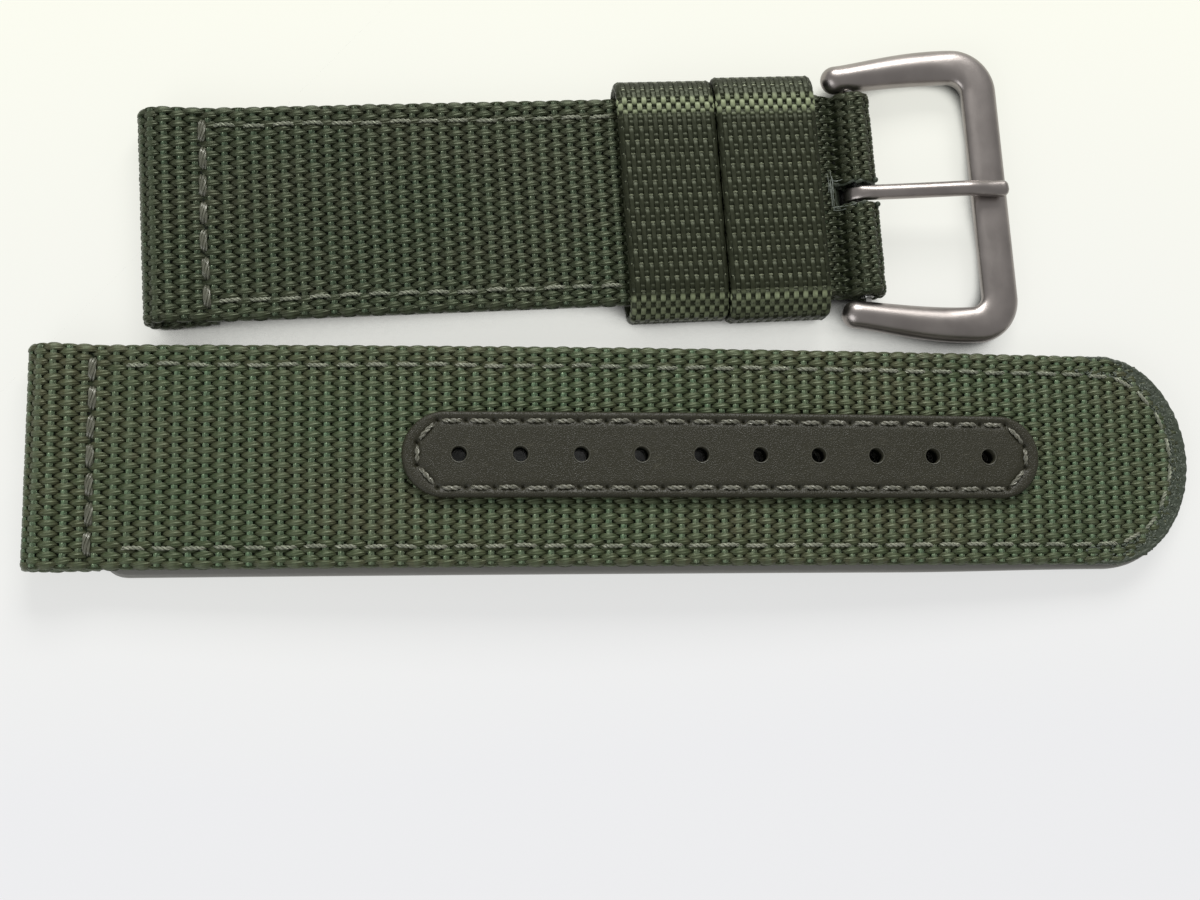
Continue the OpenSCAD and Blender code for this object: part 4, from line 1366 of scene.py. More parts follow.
@dataclass
class HoleHalf(Strap):
    """The half with the leather patch and the adjustment holes."""

    BODY = "hole_half"
    WEAVE_SEED, THREAD_SEED, MELT_SEED = 21, 22, 24
    MELT_STEP = 0.12
    BITS = 420

    length: float = 118.5
    arch_rise: float = 2.0
    tip_blunt: float = 1.2
    tip_tight: float = 2.0
    tip_overhang: float = 0.12
    origin: tuple[float, float, float] = (-11.45, -23.5406, 0.0)
    turn: float = 3.13
    first_hole: float = 41.7
    hole_pitch: float = 6.0
    hole_count: int = 10
    hole_r: float = 0.75
    patch_w: float = 8.5
    patch_t: float = 0.8
    patch_end: float = 5.6
    patch_seam: float = 0.95
    patch_pitch: float = 2.75
    patch_lap: float = 0.9
    patch_lap_end: float = 2.2
    pick_inset: float = 0.45
    warp_inset: float = 0.35
    warp_lean: float = 0.65
    rim_r: float = 0.27
    skirt_w: float = 1.75

    def __post_init__(self) -> None:
        """Work out the arch, the tip and the place on the table."""
        self.arch_end = self.length - self.lug_r
        self.face_up = self.lining_t + self.webbing_t
        under_z, table_z = self.flap_z + self.webbing_t - self.lining_t, -self.lug_r
        run, drop = self.arch_end - self.lining_x, under_z - table_z
        chord = math.hypot(run, drop)
        tilt = math.atan2(-drop, run)
        self.arch_r = chord ** 2 / (8 * self.arch_rise) + self.arch_rise / 2
        reach = self.arch_r - self.arch_rise
        self.arch_x = (self.lining_x + self.arch_end) / 2 + reach * math.sin(tilt)
        self.arch_z = (under_z + table_z) / 2 - reach * math.cos(tilt)
        self.tip_r, self.corner_r = self.half_w + self.tip_blunt, self.half_w - self.tip_tight
        self.tip_x, self.corner_y = self.arch_end - self.tip_r, self.half_w - self.corner_r
        corner_dx = math.sqrt((self.tip_r - self.corner_r) ** 2 - self.corner_y ** 2)
        self.corner_x = self.tip_x + corner_dx
        self.corner_angle = math.atan2(self.corner_y, corner_dx)
        self.placed = Matrix.Translation(self.origin) @ Matrix.Rotation(-math.radians(self.turn), 4, "Z")
        self.hole_1 = self.first_hole - self.lug_r
        self.patch_x0 = self.hole_1 - self.patch_end
        self.patch_x1 = self.hole_1 + (self.hole_count - 1) * self.hole_pitch + self.patch_end
        face = self.arched(self.face_up, self.turn_under_x, self.arch_end + 0.2)
        self.line = Route(np.concatenate([self.lug_line(tuple(face[0]))[:-1], face]))

    def height(self, x: Values, up: Values) -> Values:
        """Return the height of the layer that lies up over the arch's lower face."""
        return self.arch_z + np.sqrt((self.arch_r + up) ** 2 - (x - self.arch_x) ** 2)

    def out_of(self, x: float) -> Array:
        """Return the direction out of the arch at x."""
        return unit(np.array([x - self.arch_x, 0.0, self.height(x, 0) - self.arch_z]))

    def hole_places(self) -> Array:
        """Return the x of each adjustment hole."""
        return np.array([self.hole_1 + i * self.hole_pitch for i in range(self.hole_count)])

    def outline(self, grown: float = 0.0) -> Array:
        """Return x and half width along the outline, from the start of the tip to its end."""
        turns = np.linspace(math.pi / 2, self.corner_angle, 28)
        corner = circle((self.corner_x, self.corner_y), self.corner_r + grown, turns)
        turns = self.corner_angle * (1 - np.linspace(0, 1, 30)[1:])
        return np.concatenate([corner, circle((self.tip_x, 0), self.tip_r + grown, turns)])

    def reach(self, y: float) -> float:
        """Return the x at which the outline passes y."""
        line = self.outline()[::-1]
        return float(np.interp(min(abs(y), line[-1, 1]), line[:, 1], line[:, 0]))

    def reach_at(self, s: float) -> float:
        """Return how far a pick reaches to each side, less and less in the tip."""
        if s <= self.line.s_at(self.corner_x):
            return self.half_w
        x = float(self.line.at(np.array([s]))[0][0, 0])
        tip = self.outline(-self.pick_inset)
        return float(np.interp(x, tip[:, 0], tip[:, 1]))

    def round_tip(self, inset: float, start: float, count: int) -> Array:
        """Return a line in plan that runs inside the outline, round the tip and back.

        Args:
            inset: How far inside it runs.
            start: The x at which it starts and ends.
            count: The number of points along each straight side.
        """
        tip = self.outline(-inset)
        x = np.linspace(start, self.corner_x, count)[:-1]
        half = np.concatenate([np.stack([x, np.full(len(x), self.half_w - inset)], 1), tip])
        return np.concatenate([half, (half * [1, -1])[::-1][1:]])

    def arched(self, up: float, start: float, stop: float) -> Array:
        """Return points along the arch, in X and Z, at height up over its lower face."""
        x = np.linspace(start, stop, 400)
        return np.stack([x, self.height(x, up)], 1)

    def build(self) -> None:
        """Build the webbing, lining, patch and threads."""
        self.webbing_yarns()
        self.melted_tip()
        self.core()
        self.lining()
        HolePatch(self).build()
        self.threads()

    def webbing_yarns(self) -> None:
        """Lay the webbing's yarns, up to the tip's outline and clear of the patch's middle."""
        yarns = TipYarns(self, self.line, self.WEAVE_SEED)
        hidden = self.patch_w / 2 - self.patch_lap
        gap = (self.line.s_at(self.patch_x0 + self.patch_lap_end),
               self.line.s_at(self.patch_x1 - self.patch_lap_end))

        def runs(end: WarpEnd) -> list[tuple[float, float]]:
            """Return a yarn's run, in two where the patch hides it."""
            y = end.across + self.warp_lean * math.sin(end.lean)
            stop = self.line.s_at(self.reach(y)) - self.warp_inset
            if abs(end.across) < hidden:
                return [(0, gap[0]), (gap[1], stop)]
            return [(0, stop)]
        self.lay_warp(yarns, runs)
        self.lay_picks(yarns, gap, hidden)

    def melted_tip(self) -> None:
        """Build the melted nylon at the tip's cut edge: a bead, a rough skirt and small bits."""
        plan = self.round_tip(self.rim_r, self.corner_x - 5.0, 40)
        gone = lengths(plan)
        s = np.arange(0, gone[-1], self.MELT_STEP)
        plan = sample(plan, gone, s)
        out = unit(np.stack([-np.gradient(plan[:, 1]), np.gradient(plan[:, 0])], 1))
        out = out * np.sign((out * (plan - plan.mean(0))).sum(1, keepdims=True))
        wave = np.sin(s * 3.7) * np.sin(s * 1.3 + 1) + 0.6 * np.sin(s * 9.1 + 2)
        plan = plan + out * (0.03 * wave)[:, None]
        from_end = np.minimum(s, s[-1] - s)
        fade = np.clip(from_end / 6.0, 0, 1)
        up = self.face_up - self.rim_r - 0.1 - 0.25 * (1 - fade) + 0.04 * np.sin(s * 5.3)
        line = np.stack([plan[:, 0], plan[:, 1], self.height(plan[:, 0], up)], 1)
        parts = MeshParts()
        tube(parts, line, self.rim_r * (0.6 + 0.4 * fade) * (1 + 0.05 * np.sin(s * 6.1 + wave)), 12)
        random = np.random.default_rng(self.MELT_SEED)
        share = np.linspace(0, 1, 11)
        widen = np.clip((from_end - 3.0) / 7.0, 0, 1)
        rough = random.normal(0, 0.055, (len(s), len(share))) * (share > 0.15)
        inward = (0.25 + self.skirt_w * widen)[:, None] * share - 0.1
        skirt = plan[:, None] - out[:, None] * inward[..., None]
        high = self.face_up - 0.16 - 0.16 * share ** 3 - 0.3 * (1 - widen)[:, None] + rough
        parts.grid(np.concatenate([skirt, self.height(skirt[..., :1], high[..., None])], 2))
        self.hang(parts, "hole_half_melted_rim", Finish.MELT)
        self.melted_bits(plan, out, random)

    def melted_bits(self, plan: Array, out: Array, random: np.random.Generator) -> None:
        """Strew small melted bits over the skirt, more of them towards the edge.

        Args:
            plan: Points along the cut edge, in plan.
            out: The direction out of the tip at each.
            random: The source of their differences.
        """
        parts = MeshParts()
        t = np.linspace(-1, 1, 5)
        for _ in range(self.BITS):
            k = int(random.uniform(20, len(plan) - 20))
            spot = plan[k] - out[k] * (1.8 - 1.65 * random.uniform() ** 1.7)
            turn = random.uniform(-0.7, 0.7) + math.atan2(out[k][0], -out[k][1])
            run = random.uniform(0.1, 0.36) * np.array([math.cos(turn), math.sin(turn)])
            bit = spot + run * t[:, None]
            high = self.face_up - 0.19 + 0.06 * random.uniform(-1, 1)
            bit = np.stack([bit[:, 0], bit[:, 1], self.height(bit[:, 0], high - 0.12 * t ** 2)], 1)
            tube(parts, bit, random.uniform(0.06, 0.13) * np.array([0.4, 0.9, 1, 0.9, 0.4]), 7)
        self.hang(parts, "hole_half_melted_bits", Finish.MELT_BITS)

    def core(self) -> None:
        """Build the body of the webbing under its yarns, with its holes."""
        deep = self.core_depth
        tip = self.outline(-deep)
        s = np.arange(0.2, self.line.s_at(self.corner_x) - 0.1, 0.4)
        wide = np.full(len(s), self.half_w - deep)
        s = np.concatenate([s, [self.line.s_at(x) for x in tip[:-1, 0]]])
        wide = np.concatenate([wide, tip[:-1, 1]])
        parts = MeshParts()
        band(parts, self.line, s, -self.webbing_t, -deep, -wide, wide, self.ROUNDING)
        piece = self.pierced(parts.piece("hole_half_core", Finish.CORE), self.hole_r)
        dress(piece, self.BODY, [self.webbing])

    def lining(self) -> None:
        """Build the lining under the webbing, which stands out past its edge, with its holes."""
        line = Route(self.arched(self.lining_t, self.lining_x, self.arch_end + self.tip_overhang))
        tip = self.outline(self.tip_overhang)
        s = self.lining_stations(line.s_at(self.corner_x) - 0.1)
        left, right = self.lining_sides(s)
        fade = np.clip((s[-1] - s) / 22.0, 0, 1)
        fade = (self.lining_overhang - self.tip_overhang) * (1 - ease(fade))
        left, right = left + fade, right - fade
        shift = self.lining_shift * np.linspace(1, 0, len(tip) - 1)
        s = np.concatenate([s, [line.s_at(x) for x in tip[:-1, 0]]])
        left = np.concatenate([left, -tip[:-1, 1] - shift])
        right = np.concatenate([right, tip[:-1, 1] - shift])
        parts = MeshParts()
        band(parts, line, s, -self.lining_t, 0, left, right, self.LINING_ROUNDING)
        piece = self.pierced(parts.piece("hole_half_lining_strip", Finish.LINING), self.hole_r)
        dress(piece, self.BODY, ["hole_half_lining"])

    def pierced(self, piece: bpy.types.Object, radius: float) -> bpy.types.Object:
        """Cut the adjustment holes through a piece and move it beside the buckle half.

        Args:
            piece: The piece, in the hole half's own frame.
            radius: The radius of the holes.

        Returns:
            The piece.
        """
        cutters = MeshParts()
        for x in self.hole_places():
            out, middle = self.out_of(x), np.array([x, 0, self.height(x, self.lining_t)])
            tube(cutters, np.linspace(middle - 6 * out, middle + 6 * out, 2), radius, 32)
        cutter = cutters.piece("hole_cutter", Finish.CORE)
        cut = piece.modifiers.new("holes", "BOOLEAN")
        cut.operation, cut.solver, cut.object = "DIFFERENCE", "EXACT", cutter
        apply_modifiers(piece)
        piece.data.set_sharp_from_angle(angle=math.radians(42))
        bpy.data.objects.remove(cutter)
        move = self.placed.copy()
        move.translation *= METRES
        piece.data.transform(move)
        return piece

    def sew(self, parts: MeshParts, line: Array, middles: Array, length: float, up: float,
            side: float, random: np.random.Generator, thread: Optional[Thread] = None) -> None:
        """Lay stitches along a line in plan.

        Args:
            parts: The mesh that takes them.
            line: The line's points in plan.
            middles: The length along it of each stitch's middle.
            length: The length of a stitch.
            up: The height over the arch's lower face.
            side: 1 on the face and -1 on the underside.
            random: The source of their small differences.
            thread: The thread, the edge seam's if left out.
        """
        gone = lengths(line)
        for middle in middles:
            plan = sample(line, gone, np.array([middle - length / 2, middle + length / 2]))
            start, stop = (np.array([x, y, self.height(x, up)]) for x, y in plan)
            (thread or self.thread).stitch(parts, start, stop, side * self.out_of(start[0]), random)

    def threads(self) -> None:
        """Sew the edge seam round the tip and the lug seam, above and below."""
        random = np.random.default_rng(self.THREAD_SEED)
        edge = MeshParts()
        line = self.round_tip(self.edge_seam, self.seam_x, 200)
        total = float(np.linalg.norm(np.diff(line, axis=0), axis=1).sum())
        first = self.lining_x + 1.6 - self.seam_x
        middles = self.spread_out(first, total - first, self.edge_pitch)
        for up, side in ((self.face_up - 0.05, 1), (0.15, -1)):
            self.sew(edge, line, middles, self.edge_pitch * self.stitch_share, up, side, random)
        self.hang(edge, "hole_half_edge_stitches", self.thread.finish, "thread",
                  "hole_half_edge_thread_top", "hole_half_edge_thread_under")
        self.lug_stitches(random)


class TipYarns(SewnYarns):
    """Yarns of the hole half, flattened outside the seam round the tip."""

    FLATTENED = 0.15

    def press(self, s: Array, across: Array) -> tuple[Array, Array]:
        """Return how far a yarn is pressed in, also near the tip, and the share of its swing left."""
        sunk, left = super().press(s, across)
        stop = np.array([self.route.s_at(self.strap.reach(y)) for y in np.unique(across)])
        stop = np.interp(across, np.unique(across), stop)
        in_tip = s > self.route.s_at(self.strap.corner_x)
        zone = np.clip((s - stop + self.strap.edge_seam) / 0.5, 0, 1) * in_tip
        last = np.clip((s - stop + 0.5) / 0.5, 0, 1) * in_tip
        return sunk + self.FLATTENED * zone + self.FLATTENED * last ** 2, left * (1 - 0.5 * zone)


@dataclass
class HolePatch:
    """The leather patch round the adjustment holes."""

    THREAD_SEED = 23
    SAME_POINT = 0.01

    half: HoleHalf
    edge_round: float = 0.38
    thread: Thread = Thread(0.46, 2, 1.3, 0.34, Finish.PATCH_THREAD, 0.06)
    seam_end: float = 1.5
    seam_cut: float = 2.0
    seam_nose: float = 1.1
    stitch_share: float = 0.74
    needle_r: float = 0.17
    needle_depth: float = 0.3
    groove: float = 0.2
    groove_w: float = 0.34
    inside_dip: float = 0.05
    fine_to: float = 1.7
    rim_w: float = 0.12

    def outline(self, inset: float) -> Array:
        """Return the patch's closed outline in plan, drawn in by inset."""
        h = self.half
        radius = h.patch_w / 2
        left, right = h.patch_x0 + radius, h.patch_x1 - radius
        run = np.linspace(left, right, 700)
        turn = np.linspace(math.pi / 2, -math.pi / 2, 150)[1:-1]
        small = max(radius - inset, 1e-4)
        top = np.stack([run, np.full(len(run), small)], 1)
        low = np.stack([run[::-1], np.full(len(run), -small)], 1)
        return np.concatenate([top, circle((right, 0), small, turn), low, circle((left, 0), -small, turn)])

    def seam(self) -> list[tuple[Array, Array, int]]:
        """Return the ends of each straight run of the patch's seam in plan, and its stitches.

        Returns:
            The runs round the patch, whose ends are slanted, with the number of stitches of each.
        """
        h = self.half
        y, nose, cut = h.patch_w / 2 - h.patch_seam, self.seam_nose, self.seam_cut
        left, right = h.patch_x0 + self.seam_end, h.patch_x1 - self.seam_end
        corners = np.array([[left + cut, y], [right - cut, y], [right, nose], [right, -nose],
                            [right - cut, -y], [left + cut, -y], [left, -nose], [left, nose],
                            [left + cut, y]])
        return [(a, b, max(1, round(float(np.linalg.norm(b - a)) / h.patch_pitch)))
                for a, b in zip(corners[:-1], corners[1:])]

    def needle_holes(self) -> Array:
        """Return the plan points where the seam's thread goes through."""
        return np.concatenate([a + (b - a) * (np.arange(count) / count)[:, None]
                               for a, b, count in self.seam()])

    def from_seam(self, plan: Array) -> Array:
        """Return the distance of plan points from the seam."""
        nearest = np.full(len(plan), np.inf)
        for a, b, _ in self.seam():
            run = b - a
            t = np.clip(((plan - a) @ run) / (run @ run), 0, 1)
            nearest = np.minimum(nearest, np.linalg.norm(plan - a - t[:, None] * run, axis=1))
        return nearest

    def rings(self) -> list[tuple[float, float]]:
        """Return the inset and height of the hide's rings, from its middle below to that above."""
        h = self.half
        radius = h.patch_w / 2
        rings = [(inset, -0.25) for inset in np.linspace(radius, 0.06, 6)]
        rings += [(0.0, 0.1), (0.0, h.patch_t - self.edge_round)]
        for angle in np.radians([30, 60, 90]):
            rings.append((self.edge_round * (1 - math.cos(angle)),
                          h.patch_t - self.edge_round * (1 - math.sin(angle))))
        rings += [(inset, h.patch_t) for inset in np.linspace(self.edge_round, self.fine_to, 15)[1:]]
        return rings + [(inset, h.patch_t) for inset in np.linspace(self.fine_to, radius, 7)[1:]]

    def build(self) -> None:
        """Build the patch, the rims of its holes and its seam."""
        h = self.half
        rows = []
        needles = self.needle_holes()
        for inset, up in self.rings():
            plan = self.outline(inset)
            sunk = 0.0
            if up > h.patch_t - 0.05:
                off = self.from_seam(plan)
                inside = np.clip((inset - h.patch_seam) / 0.5, 0, 1)
                near = np.linalg.norm(plan[:, None] - needles, axis=2).min(1)
                sunk = (self.groove * bell(off, self.groove_w) + self.inside_dip * inside
                        + self.needle_depth * bell(near, self.needle_r))
            rows.append(np.stack([plan[:, 0], plan[:, 1], h.height(plan[:, 0], h.face_up + up - sunk)], 1))
        parts = MeshParts()
        parts.grid(np.stack(rows), around=True)
        piece = parts.piece("hole_patch_hide", Finish.LEATHER)
        piece.modifiers.new("weld", "WELD").merge_threshold = self.SAME_POINT * METRES
        apply_modifiers(piece)
        dress(h.pierced(piece, h.hole_r + self.rim_w), h.BODY, ["hole_patch"])
        self.rims()
        self.stitches()

    def rims(self) -> None:
        """Build each hole's rounded rim and its wall through the leather."""
        h = self.half
        parts = MeshParts()
        turn = np.linspace(0, 2 * math.pi, 32, endpoint=False)
        outer = h.hole_r + self.rim_w
        profile = [(outer + 0.02, h.patch_t - 0.1), (outer, h.patch_t)]
        for angle in np.radians([0, 30, 60, 90]):
            profile.append((h.hole_r + self.rim_w * (1 - math.sin(angle)) * 0.9,
                            h.patch_t - self.rim_w * (1 - math.cos(angle))))
        profile += [(h.hole_r, 0.1), (h.hole_r, -0.3), (outer + 0.02, -0.3)]
        for x in h.hole_places():
            out = h.out_of(x)
            along = np.array([out[2], 0, -out[0]])
            foot = np.array([x, 0, h.height(x, h.face_up)])
            spokes = along * np.cos(turn)[:, None] + np.array([0, 1, 0]) * np.sin(turn)[:, None]
            rows = [foot + out * up + radius * spokes for radius, up in profile]
            parts.grid(np.stack(rows), around=True, along=True)
        h.hang(parts, "hole_rims", Finish.RIM, "patch_leather", "hole_patch")

    def stitches(self) -> None:
        """Sew the patch's seam, above and below."""
        h = self.half
        random = np.random.default_rng(self.THREAD_SEED)
        parts = MeshParts()
        heights = ((h.face_up + h.patch_t - 0.04, 1), (h.lining_t + 0.24, -1))
        for a, b, count in self.seam():
            run = float(np.linalg.norm(b - a))
            middles = run / count * (np.arange(count) + 0.5)
            for up, side in heights:
                h.sew(parts, np.stack([a, b]), middles, run / count * self.stitch_share, up, side, random,
                      self.thread)
        h.hang(parts, "patch_stitches", self.thread.finish, "thread", "patch_thread_top",
               "patch_thread_under")


class RibbonYarns(Yarns):
    """Ribbon yarns, opened where the loop bends over the strap's edges and paler there by a painted
    highlight.

    Each bend has its middle across the strap, its reach and, at the far one, how pale it is.
    """

    LIT_Y, LIT_REACH = 9.4, 1.15
    FAR_Y, FAR_REACH, FAR_TONE = -11.6, 1.2, 0.72
    OPENED = 0.8

    def press(self, s: Array, across: Array) -> tuple[Array, Array]:
        """Return how far a yarn is pressed in, and its swing, which is wider where it is opened."""
        return np.zeros(len(s)), 1 + self.OPENED * self.tone(s)

    def tone(self, s: Array) -> Array:
        """Return how opened the weave is and how pale its painted highlight, most at the upper bend towards
        the light.
        """
        _, y, z = self.route.at(s)[0].T
        upper = bell(y - self.LIT_Y, self.LIT_REACH, 3) * (z > 1)
        return upper + self.FAR_TONE * bell(y - self.FAR_Y, self.FAR_REACH, 4) * (z > 0)


class KeeperKind(Enum):
    """The two keepers: body, CAD node, the two ends of their place along the strap, and seed."""

    FREE = ("free_keeper", "free_keeper", 46.1, 56.1, 31)
    FIXED = ("buckle_half", "fixed_keeper", 56.4, 66.8, 32)


@dataclass
class Keeper:
    """A loop of narrow ribbon round the strap."""

    kind: KeeperKind
    half_w: float = 12.75
    low: float = -2.3
    high: float = 3.1
    ribbon_t: float = 1.1
    bend_r: float = 2.2
    top_bend: float = 3.6
    weave: Weave = Weave(
        1.1, 0.5, 1.465, 0.34, 0.53, 0.085, hold=12.0, square=7.0, second=0.5, edge_pitch=0.5,
        edge_swing=0.05, edge_w=0.52, weft_w=0.26, weft_t=0.3, weft_depth=0.29, weft_bend=0.1, rings=11,
        wander=0.008, odd_dim=0.32)
    spread: float = 0.1
    core_depth: float = 0.3
    thread: Thread = Thread(0.42, 2, 0.9, 0.25, Finish.THREAD)
    seam_seed: int = 33
    seam_count: int = 6
    seam_end: float = 0.42
    seam_depth: float = 0.22
    seam_half: float = 1.2

    def route(self) -> Route:
        """Return the loop's outer line, from the middle of its underside round and back."""
        r, wide = self.bend_r, self.top_bend
        flat = self.half_w - r

        def bend(side: int, start: float, end: float) -> Array:
            """Return the upper bend at one side, which is flatter than the lower one."""
            turn = np.radians(np.linspace(start, end, 60))
            return np.stack([side * (self.half_w - wide) + wide * np.cos(turn),
                             self.high - r + r * np.sin(turn)], 1)
        line = [[[0, self.low]], arc((-flat, self.low + r), r, 270, 180), bend(-1, 180, 90),
                bend(1, 90, 0), arc((flat, self.low + r), r, 0, -90), [[0, self.low]]]
        return Route(np.concatenate([np.array(part, float) for part in line]), across="X", closed=True)

    def build(self) -> None:
        """Build the ribbon's yarns and its core."""
        body, node, x0, x1, seed = self.kind.value
        route = self.route()
        turns = 2 * round(route.length / self.weave.pick / 2)
        weave = replace(self.weave, pick=route.length / turns)
        half = (x1 - x0) / 2 + self.spread
        yarns = RibbonYarns(weave, route, half, seed)
        for end in weave.ends(half):
            yarns.lay(end, 0, route.length)
        shift = Matrix.Translation(((x0 + x1) / 2, 0, 0))
        dress(yarns.take().piece(f"{node}_warp", Finish.RIBBON, shift), body, [node])
        for number in range(turns):
            yarns.pick(number, -half, half)
        dress(yarns.take().piece(f"{node}_picks", Finish.RIBBON_WEFT, shift), body, [node])
        parts = MeshParts()
        deep = self.core_depth
        s = np.linspace(0, route.length, 240)
        wide = (half - deep) * np.ones(len(s))
        band(parts, route, s, -self.ribbon_t, -deep, -wide, wide, deep)
        dress(parts.piece(f"{node}_core", Finish.CORE, shift), body, [node])
        LOG.info("%s: %d picks", node, turns)

    def close(self) -> None:
        """Sew the free keeper's closing seam on its underside."""
        body, _, x0, x1, _ = self.kind.value
        random = np.random.default_rng(self.seam_seed)
        parts = MeshParts()
        z = self.low + self.seam_depth
        for k in range(self.seam_count):
            x = x0 + self.seam_end + (x1 - x0 - 2 * self.seam_end) / self.seam_count * (k + 0.5)
            self.thread.about(parts, (x, 0, z), (0, self.seam_half, 0), DOWN, random)
        dress(parts.piece("free_keeper_stitches", self.thread.finish), body,
              ["free_keeper_seam_thread"])


@dataclass
class Buckle:
    """The frame, the tongue and the spring bar's coil."""

    bar_x: float = 71.4
    bar_z: float = 0.2
    tilt: float = 3.854
    thick: float = 2.8
    arm_back: float = 1.5
    arm_end_r: float = 1.45
    arm_end_y: float = 12.75
    outer_x: float = 16.65
    inner_x: float = 12.45
    outer_y: float = 16.15
    inner_y: float = 12.3
    outer_corner: float = 4.7
    inner_corner: float = 1.2
    taper_run: float = 13.5
    flat_from: float = 9.5
    flat_run: float = 9.0
    section_sides: int = 28
    loop_r: float = 1.17
    loop_from: float = 300
    loop_to: float = 92
    rod: tuple[tuple[float, float], ...] = (
        (1.2, 1.32), (3.5, 1.55), (7.0, 1.95), (10.0, 2.33), (11.4, 2.5), (12.3, 2.42), (13.2, 2.27),
        (14.2, 2.24), (15.9, 2.24), (16.05, 2.24))
    wire_r: float = 0.8
    loop_thinned: float = 0.43
    tip_run: float = 1.2
    coil_reach: float = 7.9
    coil_turns: int = 13
    coil_r: float = 0.34
    coil_wire: float = 0.08

    @property
    def placed(self) -> Matrix:
        """The move from the spring bar's own frame to the part's."""
        return (Matrix.Translation((self.bar_x, 0, self.bar_z))
                @ Matrix.Rotation(math.radians(self.tilt), 4, "Y"))

    def build(self) -> None:
        """Build the frame, the tongue and the coil, and finish the spring bar."""
        self.frame()
        self.tongue()
        self.coil()
        for node in ("spring_bar_barrel", "spring_bar_plunger_left", "spring_bar_plunger_right"):
            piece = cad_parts[node]
            piece.data.materials.clear()
            piece.data.materials.append(Finish.BRIGHT_STEEL.material())

    def contour(self) -> list[Array]:
        """Return matching points of the frame's outer and inner edge in plan, for one side.

        Returns:
            The outer and inner points, from the arm's end round the corner to the middle line.
        """
        steps = np.linspace(0, 1, 26)[:, None]
        steps = np.concatenate([steps, np.sin(steps * math.pi / 2) ** 1.15], 1)
        turn = np.radians(np.linspace(90, 0, 22)[1:])
        edges = []
        for x, y, corner, beside in (
                (self.outer_x, self.outer_y, self.outer_corner, self.arm_end_r + 0.05),
                (self.inner_x, self.inner_y, self.inner_corner, -self.arm_end_r)):
            start = np.array([-self.arm_back, self.arm_end_y + beside])
            arm = start + (np.array([x - corner, y]) - start) * steps
            down = np.linspace(y - corner, 0, 12)[1:]
            bar = np.stack([np.full(len(down), x), down], 1)
            edges.append(np.concatenate([arm, circle((x - corner, y - corner), corner, turn), bar]))
        return edges

    def section(self, flat: float) -> tuple[Array, Array]:
        """Return a cross section, from round at flat 0 to flat-faced with rounded edges at 1.

        Args:
            flat: How flat the faces are.

        Returns:
            Its places from the inner edge (-1) to the outer edge (1), and its heights.
        """
        turn = np.linspace(0, 2 * math.pi, self.section_sides, endpoint=False)
        across, height = np.cos(turn), np.sin(turn)
        size = squared(turn, np.where(across > 0, 2 + 0.9 * flat, 2 + 2.6 * flat))
        across, height = across * size, height * size
        fall = np.where(across < 0, 0.42 * flat * np.clip(0.55 - height, 0, 1.6) / 1.6, 0)
        return across + fall, height

    def frame(self) -> None:
        """Build the frame: round arms that widen and flatten into the outer bar."""
        outer, inner = self.contour()
        middle, reach = (outer + inner) / 2, (outer - inner) / 2
        gone = lengths(middle)
        share = np.clip(gone / self.taper_run, 0, 1)
        flat = ease(np.clip((gone - self.flat_from) / self.flat_run, 0, 1))
        height = self.arm_end_r + (self.thick / 2 - self.arm_end_r) * share
        rows = []
        for turn in np.radians(np.linspace(0, 80, 6)):
            across, up = self.section(0.0)
            centre = middle[0] - np.array([self.arm_end_r * math.cos(turn), 0])
            plan = centre + reach[0] * math.sin(turn) * across[:, None]
            rows.append(np.concatenate([plan, (self.arm_end_r * math.sin(turn) * up)[:, None]], 1))
        rows[0][:, 2] *= 0
        for point, arm, level, tall in zip(middle, reach, flat, height):
            across, up = self.section(float(level))
            rows.append(np.concatenate([point + arm * across[:, None], (tall * up)[:, None]], 1))
        side = np.stack(rows)
        other = (side * [1, -1, 1])[::-1][1:]
        parts = MeshParts()
        parts.grid(np.concatenate([side, other]), around=True, capped=True)
        piece = parts.piece("buckle_frame_forged", Finish.STEEL, self.placed)
        smooth = piece.modifiers.new("smooth", "SUBSURF")
        smooth.levels = smooth.render_levels = 1
        apply_modifiers(piece)
        dress(piece, "buckle_frame", ["buckle_frame"])

    def tongue(self) -> None:
        """Build the tongue: a wire curled round the spring bar, with a goose neck and flat tip."""
        loop = arc((0, 0), self.loop_r, self.loop_from, self.loop_to)
        line = np.concatenate([loop, np.array(self.rod)])
        gone = lengths(line)
        tip_s = gone[-1] - self.tip_run
        closing = tip_s + self.tip_run * np.sin(np.linspace(0.1, 1, 10) * math.pi / 2)
        s = np.concatenate([np.linspace(0, tip_s, 120), closing])
        route = sample(line, gone, s)
        for _ in range(6):
            route[1:-1] = (route[:-2] + 2 * route[1:-1] + route[2:]) / 4
        tangent = unit(np.gradient(route, axis=0))
        normal = np.stack([-tangent[:, 1], tangent[:, 0]], 1)
        to_tip = gone[-1] - s
        on_loop = np.clip(1 - (s - gone[len(loop) - 1] + 0.6) / 1.6, 0, 1)
        end = np.clip(to_tip / 0.75, 0, 1)
        tip = np.sqrt(1 - (1 - end) ** 2.6)
        start = np.sqrt(1 - (1 - np.clip(s / 0.5, 0.02, 1)) ** 2)
        behind_tip = np.clip((to_tip - 1.0) / 2.0, 0, 1)
        wide = self.wire_r + 0.05 * (1 - behind_tip)
        half_y = wide * np.maximum(tip, 0.25) * (1 - 0.06 * on_loop) * start
        thinned = self.loop_thinned * on_loop
        half_z = (self.wire_r - thinned - 0.14 * (1 - behind_tip)) * np.maximum(tip, 0.2) * start
        rows = []
        turn = np.linspace(0, 2 * math.pi, 24, endpoint=False)
        for k in range(len(s)):
            size = squared(turn, 2 + 0.8 * (1 - behind_tip[k]) + 1.2 * on_loop[k])
            out = half_z[k] * np.sin(turn) * size
            rows.append(np.stack([route[k, 0] + normal[k, 0] * out, half_y[k] * np.cos(turn) * size,
                                  route[k, 1] + normal[k, 1] * out], 1))
